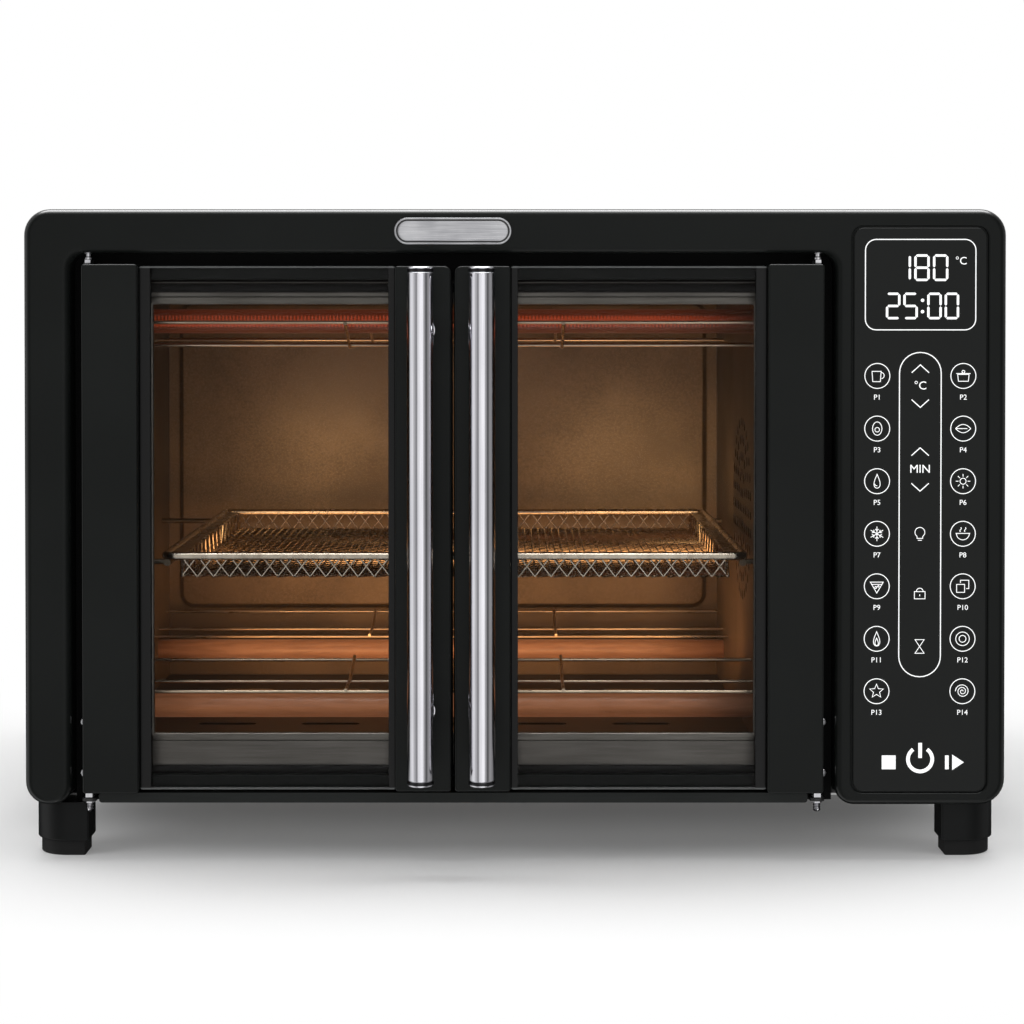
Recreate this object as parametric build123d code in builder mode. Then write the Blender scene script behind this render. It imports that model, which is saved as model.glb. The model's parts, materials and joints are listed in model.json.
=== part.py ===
# A free-standing toaster oven with a pair of French doors. Its front faces -Y, X runs to the
# right along the front, and the origin is under the middle of the oven, on the table.
import os
from math import isclose

from build123d import *

os.makedirs("parts", exist_ok=True)

# Driving dimensions, in millimetres
# Body
foot_height = 25.2
sole_height = 7.0
sole_inset = 1.6
body_height = 275.2
body_depth = 337.0
body_corner = 12.0
header_height = 20.3
left_leg_width = 21.5
control_width = 78.7
frame_depth = 24.0
frame_wall = 2.6
frame_edge = 2.4
recess_corner = 7.0
leg_end_corner = 9.0
case_step = 1.0
case_sheet = 1.0
case_lip = 14.0
back_sheet = 1.2
rear_gap = 10.0
foot_width = 26.2
foot_depth = 20.0
foot_corner = 2.0
foot_curve = 16.0
foot_inset = 2.0
foot_setback = 7.5

# Doors
door_width = 170.0
door_thickness = 14.0
door_proud = 2.0
door_gap = 1.6
door_side_gap = 5.5
door_top_gap = 5.0
door_bottom_gap = 5.8
stile_width = 25.8
stile_wall = 1.5
stile_corner = 2.0
glass_thickness = 4.0
glass_setback = 5.0
glass_drop = 0.9
door_rail_height = 6.0
pivot_inset = 2.3
pin_radius = 1.8
bush_radius = 2.6
running_clearance = 0.05
hinge_nut_radius = 3.1
hinge_nut_height = 3.4
bracket_sheet = 1.6
bracket_half_width = 3.4
bolt_floor_gap = 0.4
bolt_tip_drop = 3.5
door_screw_height = 1.8
door_screw_radius = 2.4
door_screw_lifts = (8.7, 32.2)

# Handles
bar_radius = 6.0
bar_wall = 1.2
bar_standoff = 26.0
bar_end_inset = 12.7
bar_top_inset = 4.4
bar_cap_height = 2.5
bar_cap_plug = 6.0
post_radius = 4.0
post_end_gap = 26.0

# Oven cavity
recess_depth = 14.0
recess_sheet = 1.2
face_sheet = 1.0
cavity_sheet = 1.0
cavity_depth = 274.0
cavity_left_margin = 31.4
cavity_right_margin = 5.6
cavity_floor_rise = 16.0
cavity_ceiling_drop = 15.0
emboss_inset = 6.0
emboss_rise = 2.5
emboss_bottom = 39.0
emboss_corner = 9.0
seal_width = 4.6
seal_side_inset = 35.3
seal_top_drop = 18.0
seal_bottom_rise = 16.0
seal_corner = 5.0
seal_proud = 1.4
mouth_side_lip = 1.0
mouth_top_lip = 5.6
mouth_bottom_lip = 15.0
mouth_corner = 1.0
face_flange = 1.5

# Heaters
tube_radius = 5.75
tube_wall = 1.2
tube_front = 60.0
tube_rear = 250.0
lower_tube_rise = 20.5
upper_tube_drop = 16.7
filament_radius = 1.5
filament_grip = 3.0
cap_radius = 9.0
cap_length = 14.0
cap_socket = 10.0
wall_hole_clearance = 0.6
guard_wire = 0.8
guard_gap = 5.0
guard_spread = 31.0
guard_overhang = 2.0
guard_weld = 0.5
guard_cross_spread = 51.5
guard_front_lift = 11.2
guard_rear_lift = 6.0

# Shelves and basket
basket_half_width = 139.2
basket_length = 246.0
basket_front = 28.0
basket_rim_rise = 96.3
basket_corner = 5.0
rim_wire = 1.9
basket_drop = 7.0
mesh_sheet = 1.0
mesh_columns = 20
mesh_rows = 14
mesh_strand = 1.6
rail_wire = 1.7
rail_arm_wire = 1.3
rail_inset = 1.9
rail_overlap = 7.0
rail_clearance = 0.4
rail_end_gap = 22.0

# Crumb tray
tray_sheet = 0.8
tray_lift = 0.5
tray_wall = 3.0
tray_door_gap = 0.7
tray_setback = 4.0
tray_side_gap = 1.4
tray_back_gap = 30.0
tray_lip_fold = 8.0
tray_bracket_gap = 1.0
crumb_slot_length = 30.0
crumb_slot_width = 6.0

# Convection fan
fan_center_depth = 140.0
fan_center_rise = 110.0
fan_radius = 50.0
fan_blade_depth = 14.0
fan_blades = 10
fan_sheet = 1.2
fan_wall_gap = 5.0
fan_hub_radius = 8.0
fan_blade_radius = 37.5
fan_blade_length = 22.5
fan_blade_turn = 30.0
housing_radius = 60.0
housing_depth = 27.0
vent_radius = 2.6
vent_ring_pitch = 9.0
shaft_radius = 3.0
motor_radius = 24.0
motor_length = 34.0
cooling_gap = 4.0
cooling_radius = 36.0
cooling_width = 8.0

# Controls and trim
panel_left = 7.9
panel_right = 8.9
panel_top = 8.2
panel_bottom = 6.2
panel_thickness = 1.4
panel_corner = 5.0
panel_gap = 0.35
display_inset = 6.0
display_height = 44.0
display_drop = 4.0
display_depth = 6.6
display_clearance = 0.3
board_thickness = 1.6
board_inset = 5.0
boss_radius = 3.0
badge_width = 54.0
badge_height = 12.4
badge_thickness = 1.0
screw_radius = 2.6
screw_height = 1.6
gland_radius = 9.0
gland_bore = 3.7
gland_length = 16.0
gland_flange = 2.5
gland_rise = 34.0
gland_inset = 46.0
vent_slot_length = 46.0
vent_slot_width = 4.0
vent_slot_pitch = 10.0
vent_slot_count = 8
back_vent_inset = 61.76
back_vent_rise = 163.5
spacer_spread = 269.88

# Places worked out from them
recess_width = 2 * (door_width + door_side_gap) + door_gap
body_width = left_leg_width + recess_width + control_width
body_bottom = foot_height
body_top = body_bottom + body_height
recess_top = body_top - header_height
recess_left = left_leg_width - body_width / 2
recess_right = recess_left + recess_width
door_center = (recess_left + recess_right) / 2

bar_reach = door_proud + bar_standoff + 2 * bar_radius
overall_depth = bar_reach + body_depth + rear_gap
front_y = bar_reach - overall_depth / 2
back_y = front_y + body_depth
door_front_y = front_y - door_proud
door_back_y = door_front_y + door_thickness
pivot_y = door_front_y + door_thickness / 2
bar_y = door_front_y - bar_standoff - bar_radius

door_left = recess_left + door_side_gap
door_inner = door_left + door_width
pivot_x = door_left + pivot_inset
stile_top = recess_top - door_top_gap
stile_bottom = body_bottom + door_bottom_gap
glass_top = stile_top - glass_drop
glass_bottom = stile_bottom + glass_drop
glass_front_y = door_front_y + glass_setback
glass_back_y = glass_front_y + glass_thickness
bar_x = door_inner - stile_width / 2
bar_top = stile_top - bar_top_inset
bar_bottom = stile_bottom + bar_end_inset

recess_y = front_y + recess_depth
face_y = recess_y + recess_sheet
cavity_y = face_y + face_sheet
cavity_back_y = cavity_y + cavity_depth
seal_half_width = recess_width / 2 - seal_side_inset
cavity_left = door_center - seal_half_width - cavity_left_margin
cavity_right = door_center + seal_half_width + cavity_right_margin
cavity_center = (cavity_left + cavity_right) / 2
cavity_width = cavity_right - cavity_left
cavity_floor_z = body_bottom + cavity_floor_rise
cavity_ceiling_z = recess_top - cavity_ceiling_drop
cavity_height = cavity_ceiling_z - cavity_floor_z
seal_top = recess_top - seal_top_drop
seal_bottom = body_bottom + seal_bottom_rise
mouth_top = seal_top - mouth_top_lip
mouth_bottom = seal_bottom + mouth_bottom_lip
mouth_half_width = seal_half_width - mouth_side_lip

lower_tube_z = cavity_floor_z + lower_tube_rise
upper_tube_z = cavity_ceiling_z - upper_tube_drop
tube_rows = [front_y + tube_front, front_y + tube_rear]
basket_y = front_y + basket_front
basket_back_y = basket_y + basket_length
rim_z = cavity_floor_z + basket_rim_rise
basket_floor_z = rim_z - rim_wire - basket_drop
tray_bottom = body_bottom + case_sheet + tray_lift
tray_top = stile_bottom - tray_door_gap
tray_left = pivot_x + bracket_half_width + tray_bracket_gap
tray_right = 2 * door_center - tray_left
tray_front_y = front_y + tray_setback
tray_back_y = back_y - tray_back_gap

fan_y = front_y + fan_center_depth
fan_z = cavity_floor_z + fan_center_rise
housing_x = cavity_right + cavity_sheet
housing_end_x = housing_x + housing_depth
motor_end_x = housing_end_x + motor_length
cooling_x = motor_end_x + cooling_gap
panel_x = recess_right + panel_left
panel_width = control_width - panel_left - panel_right
panel_height = body_height - panel_top - panel_bottom
panel_center = (panel_x + panel_width / 2, body_top - panel_top - panel_height / 2)
display_width = panel_width - 2 * display_inset
display_z = body_top - panel_top - display_drop - display_height / 2
board_y = front_y + panel_thickness + display_depth


def front_plane(y):
    # An upright plane at the given Y, seen from the front: sketch x is X and sketch y is Z.
    return Plane(origin=(0, y, 0), x_dir=(1, 0, 0), z_dir=(0, -1, 0))


def block(low, high, mode=Mode.ADD):
    # A box between two opposite corners.
    size = Vector(high) - Vector(low)
    with Locations((Vector(high) + Vector(low)) / 2):
        Box(size.X, size.Y, size.Z, mode=mode)


def rod(start, direction, radius, length, mode=Mode.ADD):
    # A round bar from a point along a direction.
    with Locations(Plane(origin=start, z_dir=direction)):
        Cylinder(radius, length, align=(Align.CENTER, Align.CENTER, Align.MIN), mode=mode)


def save(piece, name):
    piece.part.label = name
    export_step(piece.part, f"parts/{name}.step")


door_mirror = Plane.YZ.offset(door_center)
body_mirror = Plane.YZ
right_pivot_x = 2 * door_center - pivot_x

# Front frame: a hollow moulded arch round the doors, with the control section on its right
with BuildPart() as front_frame:
    with BuildSketch(front_plane(front_y)) as arch:
        with Locations((0, body_bottom + body_height / 2)):
            RectangleRounded(body_width, body_height, body_corner)
        with Locations((door_center, body_bottom)):
            Rectangle(
                recess_width,
                recess_top - body_bottom,
                align=(Align.CENTER, Align.MIN),
                mode=Mode.SUBTRACT,
            )
        recess_points = arch.vertices().filter_by(
            lambda v: isclose(abs(v.X - door_center), recess_width / 2, abs_tol=0.01)
        )
        fillet(recess_points.filter_by(lambda v: v.Y > body_bottom + 1), recess_corner)
        fillet(recess_points.filter_by(lambda v: v.Y < body_bottom + 1), leg_end_corner)
    extrude(amount=-frame_depth)
    fillet(front_frame.faces().sort_by(Axis.Y)[0].edges(), frame_edge)
    with BuildSketch(front_plane(front_y + frame_wall)):
        add(arch.sketch_local)
        offset(amount=-frame_wall, mode=Mode.REPLACE)
    extrude(amount=frame_wall - frame_depth, mode=Mode.SUBTRACT)
    with BuildSketch(front_plane(front_y)):
        with Locations(panel_center):
            RectangleRounded(panel_width, panel_height, panel_corner)
    extrude(amount=-panel_thickness, mode=Mode.SUBTRACT)
    with BuildSketch(front_plane(front_y)):
        with Locations((panel_center[0], display_z)):
            Rectangle(display_width, display_height)
    extrude(amount=-frame_wall, mode=Mode.SUBTRACT)
    with BuildSketch(front_plane(front_y + frame_wall)):
        with Locations(panel_center):
            with GridLocations(
                display_width - 2 * boss_radius, panel_height - display_height * 3, 2, 2
            ):
                Circle(boss_radius)
    extrude(amount=front_y + frame_wall - board_y)
    for x in (pivot_x, right_pivot_x):
        rod(
            (x, pivot_y, recess_top - frame_wall),
            (0, 0, 1),
            bush_radius,
            3 * frame_wall,
            Mode.SUBTRACT,
        )
save(front_frame, "front_frame")

# Flanged bushes in the header for the upper hinge pins
with BuildPart() as hinge_bushes:
    for x in (pivot_x, right_pivot_x):
        rod((x, pivot_y, recess_top), (0, 0, 1), bush_radius, frame_wall + bracket_sheet)
        rod(
            (x, pivot_y, recess_top - frame_wall),
            (0, 0, 1),
            pin_radius + running_clearance,
            4 * frame_wall,
            Mode.SUBTRACT,
        )
save(hinge_bushes, "hinge_bushes")

# Outer case: one sheet wrapped over the top and both sides, with narrow lips under the bottom
with BuildPart() as outer_case:
    case_width = body_width - 2 * case_step
    case_height = body_height - case_step
    with BuildSketch(front_plane(front_y + frame_depth)) as wrap:
        with Locations((0, body_bottom + case_height / 2)):
            RectangleRounded(case_width, case_height, body_corner - case_step)
        offset(amount=-case_sheet, mode=Mode.SUBTRACT)
        with Locations((0, body_bottom)):
            Rectangle(case_width - 2 * case_lip, body_corner, mode=Mode.SUBTRACT)
    extrude(amount=frame_depth + back_sheet - body_depth)
    for side in (-1, 1):
        with BuildSketch(Plane.YZ.offset(side * (body_width / 2 - case_sheet))):
            with Locations((back_y - body_depth / 4, body_bottom + body_height / 4)):
                with GridLocations(0, vent_slot_pitch, 1, vent_slot_count):
                    SlotOverall(vent_slot_length, vent_slot_width)
        extrude(amount=2 * case_sheet, both=True, mode=Mode.SUBTRACT)
save(outer_case, "outer_case")

# Back panel with cooling slots behind the control section
with BuildPart() as back_panel:
    with BuildSketch(front_plane(back_y - back_sheet)):
        with Locations((0, body_bottom + case_height / 2)):
            RectangleRounded(case_width, case_height, body_corner - case_step)
        with Locations((body_width / 2 - back_vent_inset, body_bottom + back_vent_rise)):
            with GridLocations(0, vent_slot_pitch, 1, vent_slot_count):
                SlotOverall(vent_slot_length, vent_slot_width, mode=Mode.SUBTRACT)
        with Locations((body_width / 2 - gland_inset, body_bottom + gland_rise)):
            Circle(gland_radius - gland_flange, mode=Mode.SUBTRACT)
    extrude(amount=-back_sheet)
save(back_panel, "back_panel")

# Base plate between the lips of the case
with BuildPart() as base_plate:
    block(
        (case_lip - case_width / 2, front_y + frame_depth, body_bottom),
        (case_width / 2 - case_lip, back_y - back_sheet, body_bottom + case_sheet),
    )
save(base_plate, "base_plate")

# Black plate closing the recess behind the doors, cut away for the oven mouth and the crumb tray
with BuildPart() as recess_plate:
    with BuildSketch(front_plane(recess_y)) as recess_shape:
        with Locations((door_center, body_bottom)):
            Rectangle(recess_width, recess_top - body_bottom, align=(Align.CENTER, Align.MIN))
        fillet(recess_shape.vertices().group_by(Axis.Y)[-1], recess_corner)
        with Locations((door_center, body_bottom)):
            Rectangle(
                tray_right - tray_left + tray_bracket_gap,
                tray_top + tray_door_gap - body_bottom,
                align=(Align.CENTER, Align.MIN),
                mode=Mode.SUBTRACT,
            )
        with Locations((door_center, (seal_top + seal_bottom) / 2)):
            RectangleRounded(
                2 * (seal_half_width + seal_width),
                seal_top - seal_bottom + 2 * seal_width,
                seal_corner + seal_width,
                mode=Mode.SUBTRACT,
            )
    extrude(amount=-recess_sheet)
save(recess_plate, "recess_plate")

# Soft seal round the oven mouth, standing a little proud of the plate
with BuildPart() as door_seal:
    with BuildSketch(front_plane(recess_y - seal_proud)):
        with Locations((door_center, (seal_top + seal_bottom) / 2)):
            RectangleRounded(
                2 * (seal_half_width + seal_width),
                seal_top - seal_bottom + 2 * seal_width,
                seal_corner + seal_width,
            )
            RectangleRounded(
                2 * seal_half_width, seal_top - seal_bottom, seal_corner, mode=Mode.SUBTRACT
            )
    extrude(amount=-seal_proud - recess_sheet)
save(door_seal, "door_seal")

# Bright face frame at the front of the cavity
with BuildPart() as cavity_face_frame:
    with BuildSketch(front_plane(face_y)):
        with Locations((cavity_center, (cavity_floor_z + cavity_ceiling_z) / 2)):
            Rectangle(
                cavity_width + 2 * (cavity_sheet + face_flange),
                cavity_height + 2 * (cavity_sheet + seal_width),
            )
        with Locations((door_center, (mouth_top + mouth_bottom) / 2)):
            RectangleRounded(
                2 * mouth_half_width, mouth_top - mouth_bottom, mouth_corner, mode=Mode.SUBTRACT
            )
    extrude(amount=-face_sheet)
save(cavity_face_frame, "cavity_face_frame")

# Cavity floor, with slots that let crumbs fall to the tray
with BuildPart() as cavity_floor:
    block(
        (cavity_left - cavity_sheet, cavity_y, cavity_floor_z - cavity_sheet),
        (cavity_right + cavity_sheet, cavity_back_y, cavity_floor_z),
    )
    with BuildSketch(Plane.XY.offset(cavity_floor_z)):
        with Locations((cavity_center, cavity_y + cavity_depth / 2)):
            with GridLocations(cavity_width / 6, cavity_depth / 5, 5, 4):
                SlotOverall(crumb_slot_length, crumb_slot_width)
    extrude(amount=-2 * cavity_sheet, mode=Mode.SUBTRACT)
save(cavity_floor, "cavity_floor")

with BuildPart() as cavity_ceiling:
    block(
        (cavity_left - cavity_sheet, cavity_y, cavity_ceiling_z),
        (cavity_right + cavity_sheet, cavity_back_y, cavity_ceiling_z + cavity_sheet),
    )
save(cavity_ceiling, "cavity_ceiling")


def cavity_wall(x):
    # A side wall from x outwards to the right, with holes for the ends of the heater tubes.
    block((x, cavity_y, cavity_floor_z), (x + cavity_sheet, cavity_back_y, cavity_ceiling_z))
    for y in tube_rows:
        for z in (lower_tube_z, upper_tube_z):
            rod(
                (x - cavity_sheet, y, z),
                (1, 0, 0),
                tube_radius + wall_hole_clearance,
                3 * cavity_sheet,
                Mode.SUBTRACT,
            )


with BuildPart() as cavity_left_wall:
    cavity_wall(cavity_left - cavity_sheet)
save(cavity_left_wall, "cavity_left_wall")

# Right wall, perforated in rings in front of the fan
with BuildPart() as cavity_right_wall:
    cavity_wall(cavity_right)
    with BuildSketch(Plane.YZ.offset(cavity_right)):
        with Locations((fan_y, fan_z)):
            Circle(vent_radius)
            for ring in range(1, int((fan_radius - vent_radius) / vent_ring_pitch) + 1):
                with PolarLocations(ring * vent_ring_pitch, 6 * ring):
                    Circle(vent_radius)
    extrude(amount=cavity_sheet, mode=Mode.SUBTRACT)
save(cavity_right_wall, "cavity_right_wall")

# Back wall, pressed forward into the cavity in one large rounded panel
with BuildPart() as cavity_back_wall:
    block(
        (cavity_left - cavity_sheet, cavity_back_y, cavity_floor_z - cavity_sheet),
        (cavity_right + cavity_sheet, cavity_back_y + cavity_sheet, cavity_ceiling_z + cavity_sheet),
    )
    emboss_height = cavity_height - emboss_bottom - emboss_inset
    emboss_middle = (cavity_center, cavity_floor_z + emboss_bottom + emboss_height / 2)
    emboss_width = cavity_width - 2 * emboss_inset
    with BuildSketch(front_plane(cavity_back_y)):
        with Locations(emboss_middle):
            RectangleRounded(emboss_width, emboss_height, emboss_corner)
    extrude(amount=emboss_rise)
    with BuildSketch(front_plane(cavity_back_y + cavity_sheet)):
        with Locations(emboss_middle):
            RectangleRounded(
                emboss_width - 2 * cavity_sheet,
                emboss_height - 2 * cavity_sheet,
                emboss_corner - cavity_sheet,
            )
    extrude(amount=emboss_rise, mode=Mode.SUBTRACT)
save(cavity_back_wall, "cavity_back_wall")

# Heaters: four quartz tubes across the cavity, each with its filament, in ceramic end caps
tube_reach = cavity_sheet + cap_socket
tube_heights = {"upper": upper_tube_z, "lower": lower_tube_z}
tube_places = [(y, z) for z in tube_heights.values() for y in tube_rows]
for place, z in tube_heights.items():
    with BuildPart() as heater_tubes:
        for y in tube_rows:
            start = (cavity_left - tube_reach, y, z)
            tube_length = cavity_width + 2 * tube_reach
            rod(start, (1, 0, 0), tube_radius, tube_length)
            rod(start, (1, 0, 0), tube_radius - tube_wall, tube_length, Mode.SUBTRACT)
    save(heater_tubes, f"{place}_heater_tubes")

with BuildPart() as heater_filaments:
    for y, z in tube_places:
        filament_reach = tube_reach + filament_grip
        rod(
            (cavity_left - filament_reach, y, z),
            (1, 0, 0),
            filament_radius,
            cavity_width + 2 * filament_reach,
        )
save(heater_filaments, "heater_filaments")

with BuildPart() as heater_caps:
    for y, z in tube_places:
        for wall_x, outwards in ((cavity_left, -1), (cavity_right, 1)):
            face_x = wall_x + outwards * cavity_sheet
            rod((face_x, y, z), (outwards, 0, 0), cap_radius, cap_length)
            rod((face_x, y, z), (outwards, 0, 0), tube_radius, cap_socket, Mode.SUBTRACT)
            rod(
                (face_x, y, z),
                (outwards, 0, 0),
                filament_radius,
                cap_socket + filament_grip,
                Mode.SUBTRACT,
            )
save(heater_caps, "heater_caps")

# Wire guards beside the tubes: three long wires from wall to wall, and cross wires bent over them.
# The upper guard turns up in front of its tube, the lower one rises behind it.
guard_offset = tube_radius + guard_gap + guard_wire
for place, guard_z, cross_side, lifts in (
    ("upper", upper_tube_z - guard_offset, -1, (guard_front_lift, 0, 0)),
    ("lower", lower_tube_z + guard_offset, 1, (0, 0, guard_rear_lift)),
):
    with BuildPart() as heater_guard:
        for y in tube_rows:
            rows = [
                (y + spread, guard_z + lift)
                for spread, lift in zip((-guard_spread, 0, guard_spread), lifts)
            ]
            for row_y, row_z in rows:
                rod((cavity_left, row_y, row_z), (1, 0, 0), guard_wire, cavity_width)
            cross_lift = cross_side * (2 * guard_wire - guard_weld)
            for x in (door_center - guard_cross_spread, door_center + guard_cross_spread):
                for (start_y, start_z), (end_y, end_z) in zip(rows, rows[1:]):
                    run = Vector(0, end_y - start_y, end_z - start_z)
                    start = Vector(x, start_y, start_z + cross_lift) - run.normalized() * guard_overhang
                    rod(start, run, guard_wire, run.length + 2 * guard_overhang)
    save(heater_guard, f"{place}_heater_guard")

# Shelf rails: a wire runner under each side of the basket, on two arms from the side wall
rail_half_width = basket_half_width - rail_inset
rail_ends = (cavity_y + rail_end_gap, cavity_back_y - rail_end_gap)
rail_z = rim_z - rim_wire - rail_clearance - rail_wire
for side, wall_x, outwards in (("left", cavity_left, -1), ("right", cavity_right, 1)):
    rail_x = door_center + outwards * rail_half_width
    arm_length = abs(wall_x - rail_x)
    with BuildPart() as rack_rails:
        rod((rail_x, rail_ends[0], rail_z), (0, 1, 0), rail_wire, rail_ends[1] - rail_ends[0])
        for y in (rail_ends[0] + 3 * rail_wire, rail_ends[1] - 3 * rail_wire):
            rod((rail_x, y, rail_z), (outwards, 0, 0), rail_arm_wire, arm_length)
    save(rack_rails, f"{side}_rack_rails")

# Air-fry basket: a wire rim, four mesh sides and a mesh floor
rim_center_half = basket_half_width - rim_wire
mesh_front_y = basket_y + rim_wire
mesh_back_y = basket_back_y - rim_wire
with BuildPart() as basket_rim:
    with BuildLine() as rim_path:
        FilletPolyline(
            (door_center - rim_center_half, mesh_front_y, rim_z),
            (door_center + rim_center_half, mesh_front_y, rim_z),
            (door_center + rim_center_half, mesh_back_y, rim_z),
            (door_center - rim_center_half, mesh_back_y, rim_z),
            radius=basket_corner,
            close=True,
        )
    with BuildSketch(Plane(origin=rim_path.line @ 0, z_dir=rim_path.line % 0)):
        Circle(rim_wire)
    sweep()
save(basket_rim, "basket_rim")

mesh_half_width = rim_center_half - rail_overlap - rim_wire
mesh_width = 2 * mesh_half_width
mesh_length = mesh_back_y - mesh_front_y
mesh_step_x = mesh_width / (mesh_columns + 1)
mesh_step_y = mesh_length / (mesh_rows + 1)


def diamond(width, height):
    # One diamond gap of the expanded mesh.
    corners = ((-width / 2, 0), (0, -height / 2), (width / 2, 0), (0, height / 2))
    Polygon(*corners, mode=Mode.SUBTRACT)


with BuildPart() as basket_floor:
    with BuildSketch(Plane.XY.offset(basket_floor_z - mesh_sheet)):
        with Locations((door_center, (mesh_front_y + mesh_back_y) / 2)):
            Rectangle(mesh_width + 2 * mesh_sheet, mesh_length + mesh_sheet)
            with GridLocations(mesh_step_x, mesh_step_y, mesh_columns, mesh_rows):
                diamond(mesh_step_x - mesh_strand, mesh_step_y - mesh_strand)
    extrude(amount=mesh_sheet)
save(basket_floor, "basket_floor")

side_gap_height = basket_drop - 2 * mesh_strand
with BuildPart() as basket_sides:
    for y in (mesh_front_y, mesh_back_y):
        with BuildSketch(front_plane(y + mesh_sheet / 2)):
            with Locations((door_center, basket_floor_z + basket_drop / 2)):
                Rectangle(mesh_width + 2 * mesh_sheet, basket_drop)
                with GridLocations(mesh_step_x, 0, mesh_columns, 1):
                    diamond(mesh_step_x - mesh_strand, side_gap_height)
        extrude(amount=mesh_sheet)
    for outwards in (-1, 1):
        wall_x = door_center + outwards * mesh_half_width
        rim_x = door_center + outwards * (rim_center_half - rim_wire)
        with BuildSketch(Plane.YZ.offset(wall_x)):
            with Locations(((mesh_front_y + mesh_back_y) / 2, basket_floor_z + basket_drop / 2)):
                Rectangle(mesh_length - mesh_sheet, basket_drop)
                with GridLocations(mesh_step_y, 0, mesh_rows, 1):
                    diamond(mesh_step_y - mesh_strand, side_gap_height)
        extrude(amount=outwards * mesh_sheet)
        flange_ends = (mesh_front_y + basket_corner, mesh_back_y - basket_corner)
        block(
            (min(wall_x, wall_x + outwards * mesh_sheet), flange_ends[0], rim_z - rim_wire),
            (max(wall_x, wall_x + outwards * mesh_sheet), flange_ends[1], rim_z),
        )
        block(
            (min(wall_x, rim_x), flange_ends[0], rim_z - mesh_sheet / 2),
            (max(wall_x, rim_x), flange_ends[1], rim_z + mesh_sheet / 2),
        )
save(basket_sides, "basket_sides")

# Crumb tray: a shallow pan over the base plate, drawn out under the doors by its folded front lip
with BuildPart() as crumb_tray:
    pan_left = tray_left + tray_side_gap
    pan_right = tray_right - tray_side_gap
    block((pan_left, tray_front_y, tray_bottom), (pan_right, tray_back_y, tray_bottom + tray_wall))
    block(
        (pan_left + tray_sheet, tray_front_y + tray_lip_fold, tray_bottom + tray_sheet),
        (pan_right - tray_sheet, tray_back_y - tray_sheet, tray_bottom + tray_wall),
        Mode.SUBTRACT,
    )
    with BuildSketch(front_plane(tray_front_y)) as lip:
        with Locations((door_center, (body_bottom + tray_lift + tray_top) / 2)):
            RectangleRounded(
                tray_right - tray_left, tray_top - body_bottom - tray_lift, tray_side_gap
            )
    extrude(amount=-tray_lip_fold)
save(crumb_tray, "crumb_tray")

# Convection fan behind the perforated wall, its housing, motor, shaft and cooling blade
with BuildPart() as fan_housing:
    rod((housing_x, fan_y, fan_z), (1, 0, 0), housing_radius, housing_depth)
    rod(
        (housing_x, fan_y, fan_z),
        (1, 0, 0),
        housing_radius - fan_sheet,
        housing_depth - fan_sheet,
        Mode.SUBTRACT,
    )
    rod(
        (housing_x, fan_y, fan_z),
        (1, 0, 0),
        shaft_radius + running_clearance,
        housing_depth,
        Mode.SUBTRACT,
    )
save(fan_housing, "fan_housing")

with BuildPart() as fan_motor:
    rod((housing_end_x, fan_y, fan_z), (1, 0, 0), motor_radius, motor_length)
    chamfer(fan_motor.edges().filter_by(GeomType.CIRCLE).sort_by(Axis.X)[-1], fan_sheet)
    rod(
        (housing_end_x, fan_y, fan_z),
        (1, 0, 0),
        shaft_radius + running_clearance,
        motor_length,
        Mode.SUBTRACT,
    )
save(fan_motor, "fan_motor")

fan_x = housing_x + fan_wall_gap
with BuildPart() as convection_fan:
    rod((fan_x, fan_y, fan_z), (1, 0, 0), fan_hub_radius, fan_blade_depth + fan_sheet)
    rod((fan_x + fan_blade_depth, fan_y, fan_z), (1, 0, 0), fan_radius, fan_sheet)
    with BuildSketch(Plane.YZ.offset(fan_x)):
        with Locations((fan_y, fan_z)):
            with PolarLocations(fan_blade_radius, fan_blades):
                Rectangle(fan_blade_length, fan_sheet, rotation=fan_blade_turn)
    extrude(amount=fan_blade_depth)
    rod(
        (fan_x, fan_y, fan_z), (1, 0, 0), shaft_radius, fan_blade_depth + fan_sheet, Mode.SUBTRACT
    )
save(convection_fan, "convection_fan")

with BuildPart() as fan_shaft:
    rod((fan_x, fan_y, fan_z), (1, 0, 0), shaft_radius, cooling_x + cooling_width - fan_x)
save(fan_shaft, "fan_shaft")

with BuildPart() as cooling_blade:
    rod((cooling_x, fan_y, fan_z), (1, 0, 0), fan_hub_radius, cooling_width)
    with BuildSketch(Plane.YZ.offset(cooling_x)):
        with Locations((fan_y, fan_z)):
            with PolarLocations((fan_hub_radius + cooling_radius) / 2 - fan_sheet, fan_blades // 2):
                Rectangle(cooling_radius - fan_hub_radius, fan_hub_radius)
    extrude(amount=fan_sheet)
    rod((cooling_x, fan_y, fan_z), (1, 0, 0), shaft_radius, cooling_width, Mode.SUBTRACT)
save(cooling_blade, "cooling_blade")

# Control panel: a gloss touch panel let into the frame, its display window and circuit board
with BuildPart() as touch_panel:
    with BuildSketch(front_plane(front_y)):
        with Locations(panel_center):
            RectangleRounded(
                panel_width - 2 * panel_gap, panel_height - 2 * panel_gap, panel_corner - panel_gap
            )
    extrude(amount=-panel_thickness)
save(touch_panel, "touch_panel")

with BuildPart() as display_module:
    with BuildSketch(front_plane(front_y + panel_thickness)):
        with Locations((panel_center[0], display_z)):
            Rectangle(display_width - 2 * display_clearance, display_height - 2 * display_clearance)
    extrude(amount=-display_depth)
save(display_module, "display_module")

with BuildPart() as control_board:
    with BuildSketch(front_plane(board_y)):
        with Locations(panel_center):
            Rectangle(panel_width - 2 * board_inset, panel_height - 2 * board_inset)
    extrude(amount=-board_thickness)
save(control_board, "control_board")

with BuildPart() as badge:
    with BuildSketch(front_plane(front_y)):
        with Locations((door_center, body_top - header_height / 2)):
            SlotOverall(badge_width, badge_height)
    extrude(amount=badge_thickness)
    fillet(badge.faces().sort_by(Axis.Y)[0].edges(), badge_thickness / 2)
save(badge, "badge")

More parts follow.
